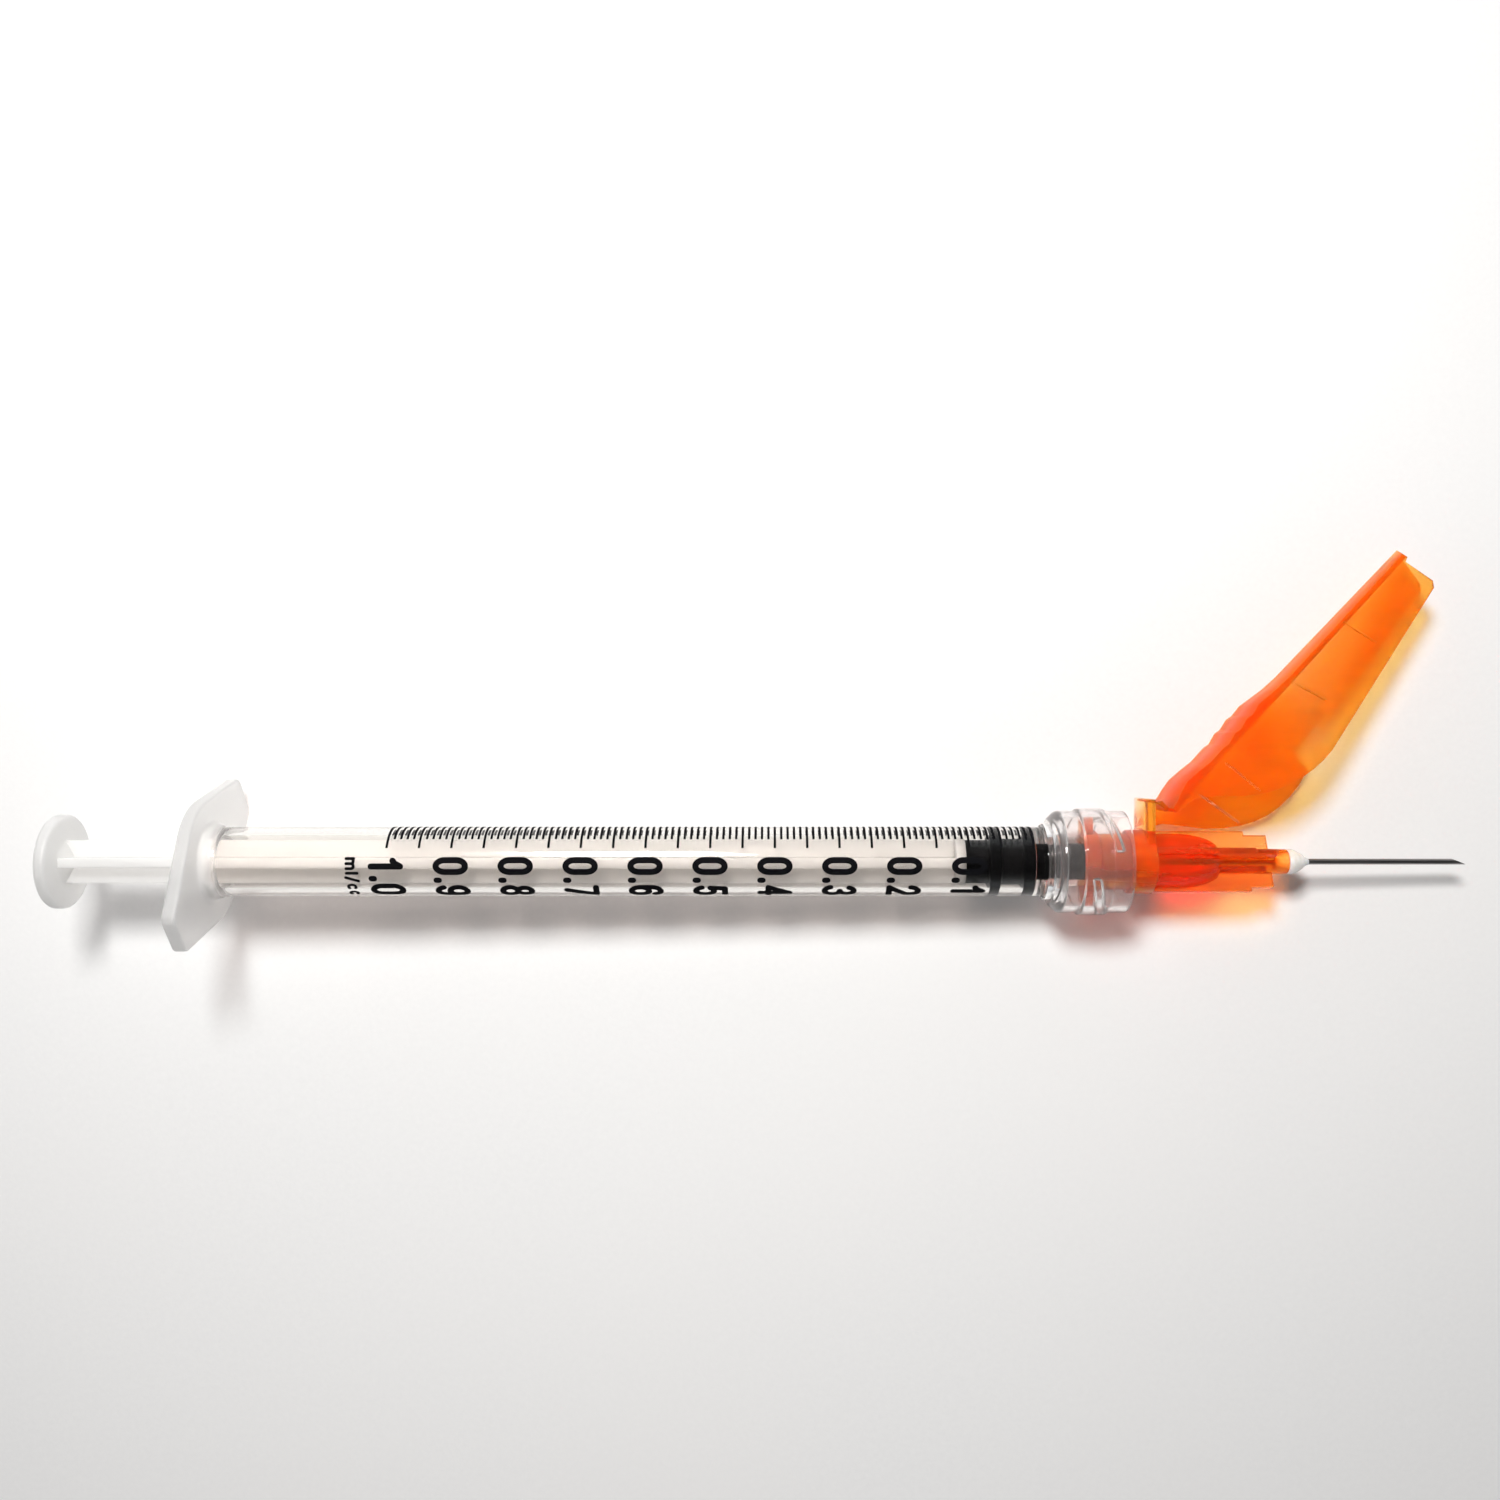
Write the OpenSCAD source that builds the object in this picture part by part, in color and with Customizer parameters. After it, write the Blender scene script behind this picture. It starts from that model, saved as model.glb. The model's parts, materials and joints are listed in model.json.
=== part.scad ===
// 1 mL luer-lock syringe with a hinged-shield safety needle.
// +X runs along the barrel's axis towards the needle, +Y is the side that the shield opens to, +Z is up.
// The origin is the zero graduation on the barrel's axis. Millimetres.

/* [Barrel] */
// Inside diameter of the barrel
bore_d = 4.74; // [4.2:0.01:6.4]
// Thickness of the barrel's wall
barrel_wall = 0.73; // [0.5:0.01:1.2]
// Volume at the last graduation, in millilitres
capacity_ml = 1.0; // [0.5:0.1:1.5]
// Length of the barrel behind the last graduation
barrel_tail = 17.4; // [8:0.1:30]
// Thickness of the barrel's front wall
front_wall = 0.72; // [0.5:0.01:1.5]
// Radius of the finger flange's round middle
flange_r = 5.7; // [4.8:0.1:9]
// Distance from the axis to each end of the finger flange
flange_reach = 9.1; // [8.2:0.1:14]
// Width of the flange's flat ends
flange_end_w = 4.5; // [2.4:0.1:6]
// Radius of the flange's corners
flange_corner_r = 0.8; // [0.3:0.1:1.1]
// Thickness of the finger flange
flange_t = 1.2; // [0.8:0.1:2.4]
// Roll of the flange's long axis from +Z towards -Y
flange_roll = 40; // [0:1:90]
// Radial height of the bead that keeps the plunger in
bead_h = 0.12; // [0.06:0.01:0.2]

/* [Plunger] */
// Diameter of the thumb disc
thumb_d = 8.4; // [6:0.1:14]
// Thickness of the thumb disc
thumb_t = 1.0; // [0.6:0.1:2]
// Gap between the finger flange and the thumb disc when the plunger is home
thumb_gap = 11.9; // [2:0.1:20]
// Radial gap between the rod's ribs and the bore
rib_gap = 0.45; // [0.2:0.01:0.6]
// Thickness of the rod's ribs
rib_t = 0.9; // [0.6:0.05:1.4]
// Length of the stopper without its nose
stopper_len = 6.1; // [5:0.1:9]
// Radial gap between the stopper's ribs and the bore
seal_gap = 0.02; // [0.01:0.01:0.05]
// Width of each sealing rib
seal_w = 1.05; // [0.8:0.05:1.4]
// Reach of the stopper's nose into the nozzle
nose_len = 9.0; // [4:0.1:9.2]

/* [Luer fitting] */
// Outside diameter of the nozzle's tip
nozzle_tip_d = 3.97; // [3.9:0.01:4.05]
// Diameter of the nozzle's fluid passage
nozzle_bore_d = 2.1; // [1.6:0.1:2.4]
// Length of the nozzle in front of the collar's inner floor
nozzle_len = 7.9; // [7.5:0.1:9]
// Diameter taper of the fitting for each millimetre of length
luer_taper = 0.06; // [0.06:0.01:0.06]
// Outside diameter of the collar
collar_d = 9.1; // [8.9:0.1:10.4]
// Outside diameter of the collar's raised band
collar_band_d = 9.5; // [9.3:0.1:11]
// Length of the collar
collar_len = 6.8; // [6.4:0.1:8]
// Thickness of the collar's floor
collar_floor = 1.0; // [0.8:0.1:1.6]
// Inside diameter of the collar's thread groove
thread_major_d = 8.1; // [8.0:0.05:8.2]
// Inside diameter over the collar's thread ridges
thread_minor_d = 7.0; // [6.95:0.05:7.2]
// Advance of the thread for each turn
thread_lead = 5.0; // [5:0.1:5]

/* [Needle] */
// Outside diameter of the cannula, 0.514 being 25 gauge
cannula_d = 0.514; // [0.3:0.001:0.72]
// Inside diameter of the cannula
cannula_bore_d = 0.26; // [0.11:0.01:0.42]
// Free length of the cannula in front of the hub's core, 16 being 5/8 inch
cannula_free = 16.1; // [10:0.1:26]
// Angle between the bevel and the cannula's axis
bevel_angle = 22; // [12:1:30]
// Outside diameter of the hub's body
hub_d = 5.0; // [4.9:0.05:5.4]
// Length of the hub from its open face to the end of its core
hub_len = 18.4; // [17:0.1:24]
// Length of the hub's straight part, before its domed nose
hub_body_len = 8.4; // [7.9:0.1:9]
// Length of the hub's domed nose
hub_dome_len = 3.8; // [3:0.1:4.4]
// Diameter of the hub's core tube
core_d = 2.3; // [1.8:0.1:2.8]
// Thickness of the hub's fins
fin_t = 0.55; // [0.4:0.05:0.9]
// Roll of the hub's fins about the axis
fin_roll = 25; // [0:1:45]
// Length of the adhesive bead in front of the core
bead_len = 2.0; // [1:0.1:3]

/* [Shield] */
// Reach of the closed shield past the needle's tip
shield_cover = 3.9; // [2:0.1:6]
// Gap between the closed shield's walls and the ring, on each side
shield_gap = 0.15; // [0.1:0.05:0.6]
// Outside width of the shield at its tip
shield_tip_w = 3.3; // [2.6:0.1:4.5]
// Thickness of the shield's walls
shield_wall = 0.45; // [0.3:0.05:0.7]
// Opening angle of the shield at rest, measured from the needle
shield_open = 46.8; // [20:0.1:100]
// Angle between the closed shield's back and the needle, sloping down to the tip
shield_closed = 6; // [3:1:8]
// Angle at which the shield stops when it is folded back
shield_back = 165; // [100:1:165]
// Distance from the hinge's axis to the outer face of the shield's back
back_offset = 0.93; // [0.8:0.01:1.1]
// Diameter of the living hinge's pivot roll
hinge_d = 0.36; // [0.3:0.02:0.5]

/* [Hidden] */

$fn = 72;
EPS = 0.01;             // overlap that fuses two parts of one moulding
SLIP = 0.02;            // radial gap between pieces that are snapped or glued together
MM3_PER_ML = 1000;

// Barrel
bore_r = bore_d / 2;
barrel_r = bore_r + barrel_wall;
scale_len = capacity_ml * MM3_PER_ML / (PI * bore_r * bore_r);
barrel_rear_x = -scale_len - barrel_tail;
flange_front_x = barrel_rear_x + flange_t;
end_gap = 0.05;                                  // stopper to the barrel's end wall
dose_edge = 0.3;                                 // front rib's front face, past the zero line
bore_end_x = dose_edge + end_gap;
barrel_front_x = bore_end_x + front_wall;
snap_h = 0.3;                                    // height of the neck's snap ring
snap_w = 0.5;
snap_x = barrel_front_x + 0.55;
collar_rear_x = barrel_front_x + 0.65;
collar_front_x = collar_rear_x + collar_len;
collar_floor_x = collar_rear_x + collar_floor;
root_fillet = 0.7;
bead_len_x = 0.8;
bead_x = flange_front_x + 0.4;                   // start of the retention bead

// Nozzle and hub socket
nozzle_tip_x = collar_floor_x + nozzle_len;
nozzle_tip_r = nozzle_tip_d / 2;
nozzle_bore_r = nozzle_bore_d / 2;
function nozzle_r(x) = nozzle_tip_r + (nozzle_tip_x - x) * luer_taper / 2;
hub_face_x = collar_floor_x + 2.0;
hub_r = hub_d / 2;
hub_rim_h = 0.25;
hub_rim_len = 1.2;
socket_cone = 0.6;                               // length of the cone behind the cannula's hole
socket_end_x = nozzle_tip_x + 0.7;
cannula_rear_x = socket_end_x + socket_cone + 0.3;
lug_t = 0.8;
lug_r = thread_minor_d / 2 + 0.38;
lug_w = 2.6;
core_r = core_d / 2;
hub_end_x = hub_face_x + hub_len;
dome_x = hub_face_x + hub_body_len;
dome_end_x = dome_x + hub_dome_len;
fin_x = [hub_end_x - 3.5, hub_end_x - 1.5];      // ends of the fins' wide and narrow steps
fin_r = [hub_r + 0.35, hub_r - 0.05];

// Thread ridges: each keeps one lug from leaving straight forwards
ridge_w = 0.75;
ridge_turn = 150;
ridge_steps = 15;
ridge_root = 0.25;                               // depth of the ridge's root inside the collar's wall
lug_gap = 0.15;

// Plunger
stopper_front_x = bore_end_x - end_gap;
stopper_rear_x = stopper_front_x - stopper_len;
stopper_r = bore_r - seal_gap;
waist_r = stopper_r - 0.3;
tail_r = stopper_r - 0.42;
nose_r = nozzle_bore_r - 0.1;
rib_r = bore_r - rib_gap;
push_disc_t = 0.9;
thumb_front_x = barrel_rear_x - thumb_gap;
thumb_rear_x = thumb_front_x - thumb_t;
snap_head_r = 1.25;
snap_neck_r = 0.8;
snap_neck_len = 1.3;
snap_head_len = 1.2;
tail_len = 2.0;                                  // the stopper's plain rear end
thumb_edge = 0.3;

// Needle
cannula_r = cannula_d / 2;
cannula_tip_x = hub_end_x + cannula_free;
well_r = core_r - 0.35;
well_depth = 1.2;

// Shield ring, post and hinge
ring_wall = 0.33;
ring_r = hub_r + SLIP + ring_wall;
ring_x = [hub_face_x + 3.95, hub_face_x + 6.2];
post_t = 0.7;
post_half_w = 2.3;
post_front_x = ring_x[1] - 0.1;
hinge_x = post_front_x + 0.25;
hinge_y = ring_r + 2.55;
post_top_y = hinge_y + 0.25;
hinge_r = hinge_d / 2;
hinge_half_w = 2.0;

shield_len = (cannula_tip_x - hinge_x + shield_cover) / cos(shield_closed);
lock_u = hub_end_x + bead_len + 0.9 - hinge_x;   // where the lock lies along the shield

// Shield outlines, as distances along the back from the hinge (u) and away from the back (v)
back_v = back_offset;
back_t = shield_wall + 0.05;
root_u = 0.2;                                    // rear end of the shield's back
lip_gap = 0.12;                                  // the lock's slot, wider than the cannula by this
half_w = ring_r + shield_gap + shield_wall;
tip_half_w = shield_tip_w / 2;
taper_u = fin_x[0] - hinge_x + 0.5;              // the channel narrows in front of the wide fins
tip_v = back_v + 4.0;
mouth_u = lock_u - 1.3;                          // where the open edge turns into the belly
mouth_v = tip_v + (shield_len - mouth_u) * 0.155;
belly_steps = 8;

// A quadratic curve from a to c that leaves along a-b and arrives along b-c, without its first point
function bend(a, b, c, n) =
    [for (i = [1 : n]) let (t = i / n) a * (1 - t) * (1 - t) + b * 2 * t * (1 - t) + c * t * t];

// Thumb pad: shallow teeth that climb away from the hinge, then a ramp back down to the shield's back
pad_u = 7.3;
pad_pitch = 1.65;
pad_count = 4;
pad_rise = 0.46;
tooth_h = 0.12;
function pad_v(i) = back_v - pad_rise * sin(90 * (i + 1) / pad_count);
pad_teeth = [for (i = [0 : pad_count - 1]) let (u = pad_u + i * pad_pitch)
    each i < pad_count - 1 ? [[u, pad_v(i)], [u + 0.55, pad_v(i) + tooth_h]] : [[u, pad_v(i)]]];
pad_end_u = pad_u + pad_count * pad_pitch;

// The back's outer face, from the hinge to the tip
back_edge = concat([[0.25, back_v + 0.1], [1.15, back_v - 0.05], [2.0, back_v - 0.28], [3.0, back_v - 0.46],
    [4.4, back_v - 0.32], [5.6, back_v - 0.14]], pad_teeth, [[pad_end_u + 0.8, back_v - 0.1],
    [pad_end_u + 2.4, back_v], [shield_len, back_v], [shield_len + 0.1, back_v + 0.5],
    [shield_len - 0.35, back_v + 0.65], [shield_len - 1.2, tip_v - 0.5], [shield_len - 1.6, tip_v]]);

// The upper side's free edge, a shallow belly
near_belly = concat([[mouth_u, mouth_v]],
    bend([mouth_u, mouth_v], [8.6, mouth_v + 0.1], [5.2, 4.7], belly_steps),
    [[3.7, 3.1], [2.2, back_v + 0.95], [0.25, back_v + 0.6]]);

// The lower side's free edge, a deep lobe that guards the hub, with a notch beside the lock
far_belly = concat([[mouth_u + 2.2, mouth_v - 0.6], [mouth_u + 2.0, mouth_v - 1.3],
    [mouth_u - 1.0, mouth_v - 1.1], [mouth_u - 1.3, mouth_v + 1.3]],
    bend([mouth_u - 1.3, mouth_v + 1.3], [6.6, 11.2], [2.0, 6.0], belly_steps),
    [[0.4, 3.8], [-0.3, 2.9], [-1.66, 1.95]]);

// Turns a profile of [radius, x] points about the X axis
module turned(profile) {
    rotate([0, 90, 0]) rotate_extrude() polygon(profile);
}

// A straight round bar along X
module bar(r, x0, x1) {
    translate([x0, 0, 0]) rotate([0, 90, 0]) cylinder(r = r, h = x1 - x0);
}

// The flange's outline: a disc blended by straight tangents into two blunt ends
module flange_outline() {
    corner = [flange_reach - flange_corner_r, flange_end_w / 2 - flange_corner_r];
    normal = atan2(corner[1], corner[0]) + acos((flange_r - flange_corner_r) / norm(corner));
    n = [cos(normal), sin(normal)];
    circle(r = flange_r);
    for (side = [0, 180]) rotate(side) {
        for (s = [-1, 1]) translate([corner[0], s * corner[1]]) circle(r = flange_corner_r, $fn = 32);
        polygon([[0, -flange_r * n[1]], [flange_r * n[0], -flange_r * n[1]],
                 [corner[0] + flange_corner_r * n[0], -corner[1] - flange_corner_r * n[1]],
                 [flange_reach, -corner[1]], [flange_reach, corner[1]],
                 [corner[0] + flange_corner_r * n[0], corner[1] + flange_corner_r * n[1]],
                 [flange_r * n[0], flange_r * n[1]], [0, flange_r * n[1]]]);
    }
}

module barrel() {
    color([0.93, 0.95, 0.96, 0.5]) difference() {
        union() {
            turned([[0, barrel_rear_x], [barrel_r + root_fillet, barrel_rear_x],
                    [barrel_r + root_fillet, flange_front_x], [barrel_r, flange_front_x + root_fillet],
                    [barrel_r, snap_x - snap_w / 2], [barrel_r + snap_h, snap_x],
                    [barrel_r + snap_h, snap_x + snap_w / 2], [barrel_r, snap_x + snap_w / 2 + EPS],
                    [barrel_r, collar_floor_x - 0.1], [nozzle_r(collar_floor_x), collar_floor_x - 0.1],
                    [nozzle_tip_r, nozzle_tip_x - 0.1], [nozzle_tip_r - 0.1, nozzle_tip_x],
                    [0, nozzle_tip_x]]);
            translate([barrel_rear_x, 0, 0]) rotate([flange_roll, 0, 0]) rotate([0, 90, 0])
                rotate(180) linear_extrude(flange_t) flange_outline();
        }
        turned([[0, barrel_rear_x - 1], [bore_r + 0.35, barrel_rear_x - 1], [bore_r + 0.35, barrel_rear_x],
                [bore_r, barrel_rear_x + 0.6], [bore_r, bead_x], [bore_r - bead_h, bead_x + bead_len_x / 3],
                [bore_r - bead_h, bead_x + 2 * bead_len_x / 3], [bore_r, bead_x + bead_len_x],
                [bore_r, bore_end_x], [nozzle_bore_r, bore_end_x], [nozzle_bore_r, nozzle_tip_x + 1],
                [0, nozzle_tip_x + 1]]);
    }
}

// One helical ridge of the collar's thread, as a swept trapezium. Its rear flank stays lug_gap in
// front of a lug that leaves along the same helix.
module thread_ridge(start) {
    root = thread_major_d / 2 + ridge_root;
    crest = thread_minor_d / 2;
    rear_x = hub_face_x + lug_t + lug_gap;
    half_lug = asin(lug_w / 2 / lug_r);
    rings = [for (i = [0 : ridge_steps])
        let (turn = -ridge_turn / 2 + i * ridge_turn / ridge_steps,
             x = rear_x + thread_lead * (turn + half_lug) / 360)
        [for (p = [[root, 0], [crest, 0.2], [crest, ridge_w - 0.2], [root, ridge_w]])
            [x + p[1], p[0] * cos(start + turn), p[0] * sin(start + turn)]]];
    points = [for (ring = rings) each ring];
    sides = [for (i = [0 : ridge_steps - 1], j = [0 : 3])
        let (a = 4 * i + j, b = 4 * i + (j + 1) % 4) each [[a, a + 4, b + 4], [a, b + 4, b]]];
    last = 4 * ridge_steps;
    ends = [[0, 1, 2], [0, 2, 3], [last, last + 2, last + 1], [last, last + 3, last + 2]];
    polyhedron(points, concat(sides, ends));
}

module luer_collar() {
    band = [collar_rear_x + 0.38 * collar_len, collar_rear_x + 0.72 * collar_len];
    collar_r = collar_d / 2;
    band_r = collar_band_d / 2;
    groove_r = barrel_r + snap_h + SLIP;
    chamfer = max(0.05, min(0.7, collar_r - groove_r - 0.3));
    color([0.96, 0.97, 0.98, 0.5]) {
        difference() {
            turned([[barrel_r + SLIP, collar_rear_x], [collar_r - chamfer, collar_rear_x],
                    [collar_r, collar_rear_x + chamfer],
                    [collar_r, band[0] - 0.2], [band_r, band[0]],
                    [band_r, band[1]], [collar_r, band[1] + 0.2],
                    [collar_r, collar_front_x - 0.25], [collar_r - 0.25, collar_front_x],
                    [thread_major_d / 2 + 0.1, collar_front_x], [thread_major_d / 2, collar_front_x - 0.3],
                    [thread_major_d / 2, collar_floor_x + 0.2], [thread_major_d / 2 - 0.2, collar_floor_x],
                    [nozzle_r(collar_floor_x) + SLIP, collar_floor_x],
                    [nozzle_r(collar_floor_x) + SLIP, collar_floor_x - 0.1 + SLIP],
                    [barrel_r + SLIP, collar_floor_x - 0.1 + SLIP]]);
            turned([[0, snap_x - snap_w], [groove_r, snap_x - snap_w],
                    [groove_r, snap_x + snap_w / 2 + SLIP], [0, snap_x + snap_w / 2 + SLIP]]);
        }
        for (start = [0, 180]) thread_ridge(start);
    }
}

module plunger_rod() {
    color([0.94, 0.94, 0.95]) {
        turned([[0, thumb_rear_x], [thumb_d / 2 - thumb_edge, thumb_rear_x],
                [thumb_d / 2, thumb_rear_x + thumb_edge], [thumb_d / 2, thumb_front_x - thumb_edge],
                [thumb_d / 2 - thumb_edge, thumb_front_x], [rib_r, thumb_front_x],
                [rib_t / 2, thumb_front_x + 1.2], [0, thumb_front_x + 1.2]]);
        for (turn = [0, 90]) rotate([turn, 0, 0])
            translate([thumb_front_x - EPS, -rib_r, -rib_t / 2])
                cube([stopper_rear_x - push_disc_t - thumb_front_x + 2 * EPS, 2 * rib_r, rib_t]);
        bar(rib_r + 0.15, stopper_rear_x - push_disc_t, stopper_rear_x);
        bar(snap_neck_r, stopper_rear_x - EPS, stopper_rear_x + snap_neck_len + EPS);
        turned([[0, stopper_rear_x + snap_neck_len], [snap_head_r, stopper_rear_x + snap_neck_len],
                [snap_neck_r, stopper_rear_x + snap_neck_len + snap_head_len],
                [0, stopper_rear_x + snap_neck_len + snap_head_len]]);
    }
}

module stopper() {
    tail_x = stopper_rear_x + tail_len;
    neck_x = stopper_rear_x + snap_neck_len;
    color([0.08, 0.08, 0.09]) difference() {
        turned([[0, stopper_rear_x], [tail_r, stopper_rear_x], [tail_r, tail_x], [stopper_r, tail_x + 0.1],
                [stopper_r, tail_x + seal_w], [waist_r, tail_x + seal_w + 0.2],
                [waist_r, stopper_front_x - seal_w - 0.2], [stopper_r, stopper_front_x - seal_w],
                [stopper_r, stopper_front_x - 0.1], [stopper_r - 0.1, stopper_front_x],
                [nose_r, stopper_front_x],
                [nose_r, stopper_front_x + nose_len - 0.4], [nose_r - 0.3, stopper_front_x + nose_len],
                [0, stopper_front_x + nose_len]]);
        turned([[0, stopper_rear_x - 1], [snap_neck_r + SLIP, stopper_rear_x - 1],
                [snap_neck_r + SLIP, neck_x - SLIP],
                [snap_head_r + SLIP, neck_x - SLIP], [snap_neck_r + SLIP, neck_x + snap_head_len + SLIP],
                [0, neck_x + snap_head_len + SLIP]]);
    }
}

module adhesive_bead() {
    tip = hub_end_x + bead_len;
    color([0.97, 0.97, 0.96]) turned([[cannula_r + SLIP, hub_end_x - well_depth + SLIP],
            [well_r - 0.2 - SLIP, hub_end_x - well_depth + SLIP], [well_r - SLIP, hub_end_x + SLIP],
            [core_r - 0.05, hub_end_x + SLIP], [core_r, hub_end_x + 0.35], [core_r - 0.15, hub_end_x + 0.8],
            [core_r * 0.6, hub_end_x + 1.35], [cannula_r + SLIP + 0.05, tip], [cannula_r + SLIP, tip]]);
}

// One of the hub's four stepped fins, standing towards +Y
module fin() {
    for (i = [0, 1]) translate([ring_x[1], core_r - 0.3, -fin_t / 2])
        cube([fin_x[i] - ring_x[1], fin_r[i] - core_r + 0.3, fin_t]);
}

module needle_hub() {
    socket_r = nozzle_r(hub_face_x) + SLIP;
    tip_socket_r = nozzle_r(nozzle_tip_x) + SLIP;
    color([0.93, 0.33, 0.12, 0.8]) difference() {
        union() {
            turned([[0, hub_face_x], [hub_r + hub_rim_h, hub_face_x],
                    [hub_r + hub_rim_h, hub_face_x + hub_rim_len], [hub_r, hub_face_x + hub_rim_len + 0.2],
                    [hub_r, dome_x], [hub_r * 0.97, dome_x + 0.24 * hub_dome_len],
                    [hub_r * 0.87, dome_x + 0.5 * hub_dome_len], [hub_r * 0.7, dome_x + 0.74 * hub_dome_len],
                    [core_r, dome_end_x], [core_r, hub_end_x - 1.6], [core_r - 0.05, hub_end_x],
                    [0, hub_end_x]]);
            for (side = [0, 180]) rotate([side, 0, 0]) intersection() {
                bar(lug_r, hub_face_x, hub_face_x + lug_t);
                translate([hub_face_x, 0, -lug_w / 2]) cube([lug_t, lug_r + 1, lug_w]);
            }
            for (i = [0 : 3]) rotate([90 * i - fin_roll, 0, 0]) fin();
        }
        turned([[0, hub_face_x - 1], [socket_r, hub_face_x - 1], [socket_r, hub_face_x],
                [tip_socket_r, nozzle_tip_x],
                [tip_socket_r, socket_end_x], [cannula_r + 0.5, socket_end_x + socket_cone],
                [cannula_r + SLIP, cannula_rear_x],
                [cannula_r + SLIP, hub_end_x - well_depth], [well_r - 0.2, hub_end_x - well_depth],
                [well_r, hub_end_x], [well_r, hub_end_x + 1], [0, hub_end_x + 1]]);
    }
}

module cannula() {
    bevel_len = cannula_d / tan(bevel_angle);
    color([0.45, 0.46, 0.48]) difference() {
        bar(cannula_r, cannula_rear_x, cannula_tip_x);
        bar(cannula_bore_d / 2, cannula_rear_x - 1, cannula_tip_x + 1);
        translate([cannula_tip_x, -cannula_r, 0]) rotate([0, 0, -bevel_angle])
            translate([-2 * bevel_len, 0, -1]) cube([4 * bevel_len, 2, 2]);
    }
}

module shield_ring() {
    color([0.95, 0.5, 0.2, 0.85]) difference() {
        union() {
            bar(ring_r, ring_x[0], ring_x[1]);
            translate([post_front_x - post_t, 0, -post_half_w]) cube([post_t, post_top_y, 2 * post_half_w]);
        }
        bar(hub_r + SLIP, ring_x[0] - 1, ring_x[1] + 1);
    }
}

// The film of the living hinge, ending in a roll on the hinge's axis
module living_hinge() {
    film_t = 0.16;
    color([0.98, 0.75, 0.5]) {
        translate([hinge_x, hinge_y, -hinge_half_w]) cylinder(r = hinge_r, h = 2 * hinge_half_w);
        translate([post_front_x, hinge_y - film_t / 2, -hinge_half_w])
            cube([hinge_x - post_front_x, film_t, 2 * hinge_half_w]);
    }
}

// Places what is drawn as [u, v] at the shield's rest angle, with u along its back
module at_shield() {
    translate([hinge_x, hinge_y, 0]) rotate([0, 0, shield_open]) mirror([0, 1, 0]) children();
}

// The channel's width seen from its back, less an inset on each side
module plan(inset) {
    w = half_w - inset;
    tip_w = tip_half_w - inset;
    translate([0, 40, 0]) rotate([90, 0, 0]) linear_extrude(80)
        polygon([[-4, -w], [taper_u, -w], [shield_len + 0.2, -tip_w],
                 [shield_len + 0.2, tip_w], [taper_u, w], [-4, w]]);
}

// One side of the shield: its outline over half the width
module shield_half(edge, z0) {
    intersection() {
        translate([0, 0, z0]) linear_extrude(half_w + 1) polygon(edge);
        plan(0);
    }
}

module shield() {
    inner_v = back_v + back_t;
    // between the walls nothing stands behind the hinge, where the post comes when the shield is closed
    inner = [[-5, -1], [root_u, -1], [root_u, inner_v + 0.2], [2, inner_v + 0.1], [6.4, inner_v],
             [shield_len + 1, inner_v], [shield_len + 1, 20], [-5, 20]];
    stop_u = [4.2, 17, 24.2];
    color([0.95, 0.44, 0.13, 0.85]) at_shield() {
        difference() {
            union() {
                shield_half(concat(back_edge, near_belly), 0);
                shield_half(concat(back_edge, far_belly), -half_w - 1);
            }
            intersection() {
                translate([0, 0, -half_w]) linear_extrude(2 * half_w) polygon(inner);
                plan(shield_wall);
            }
            cylinder(r = hinge_r + SLIP, h = 2 * half_w + 2, center = true);
        }
        // the root that hangs on the hinge
        difference() {
            translate([-0.05, hinge_r, -hinge_half_w]) cube([0.4, back_v, 2 * hinge_half_w]);
            cylinder(r = hinge_r + SLIP, h = 2 * half_w, center = true);
        }
        // stiffening ribs inside the far wall
        for (u = stop_u) intersection() {
            translate([u, inner_v - EPS, -half_w + 0.1]) cube([0.3, 4.6, shield_wall + 0.15]);
            plan(0.1);
        }
    }
}

// The lock: two inward lips that the cannula passes between, just in front of the adhesive
module needle_lock() {
    needle_v = hinge_y - lock_u * tan(shield_closed);  // the closed shield's distance to the needle
    slot = cannula_d + lip_gap;
    lip_t = 0.5;
    lip_h = 1.1;
    color([0.93, 0.38, 0.1, 0.85]) at_shield() intersection() {
        translate([lock_u, needle_v + 0.6, 0]) difference() {
            translate([0, 0, -half_w]) cube([lip_t, lip_h, 2 * half_w]);
            translate([-1, -1, -slot / 2]) cube([2, 4, slot]);
        }
        plan(shield_wall);
    }
}

barrel();
luer_collar();
plunger_rod();
stopper();
adhesive_bead();
needle_hub();
cannula();
shield_ring();
living_hinge();
shield();
needle_lock();
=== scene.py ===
# %% [markdown]
# # A slim syringe with a hinged-shield needle
# The object is a 1 mL luer-lock syringe: a clear moulded barrel, a milky plunger, a black stopper,
# a clearer threaded collar, and an orange needle hub with a shield that swings on a living hinge.
# Nearly every piece lets light through, so this lesson is about clean shells: a see-through plastic
# only looks right when each piece is one closed skin with the wall that the real piece has.
#
# Lengths are written in millimetres, as on a drawing, and turned to metres when a mesh is made.

import json
import math

import bmesh
import bpy
import numpy as np
from mathutils import Matrix, Vector


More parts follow.
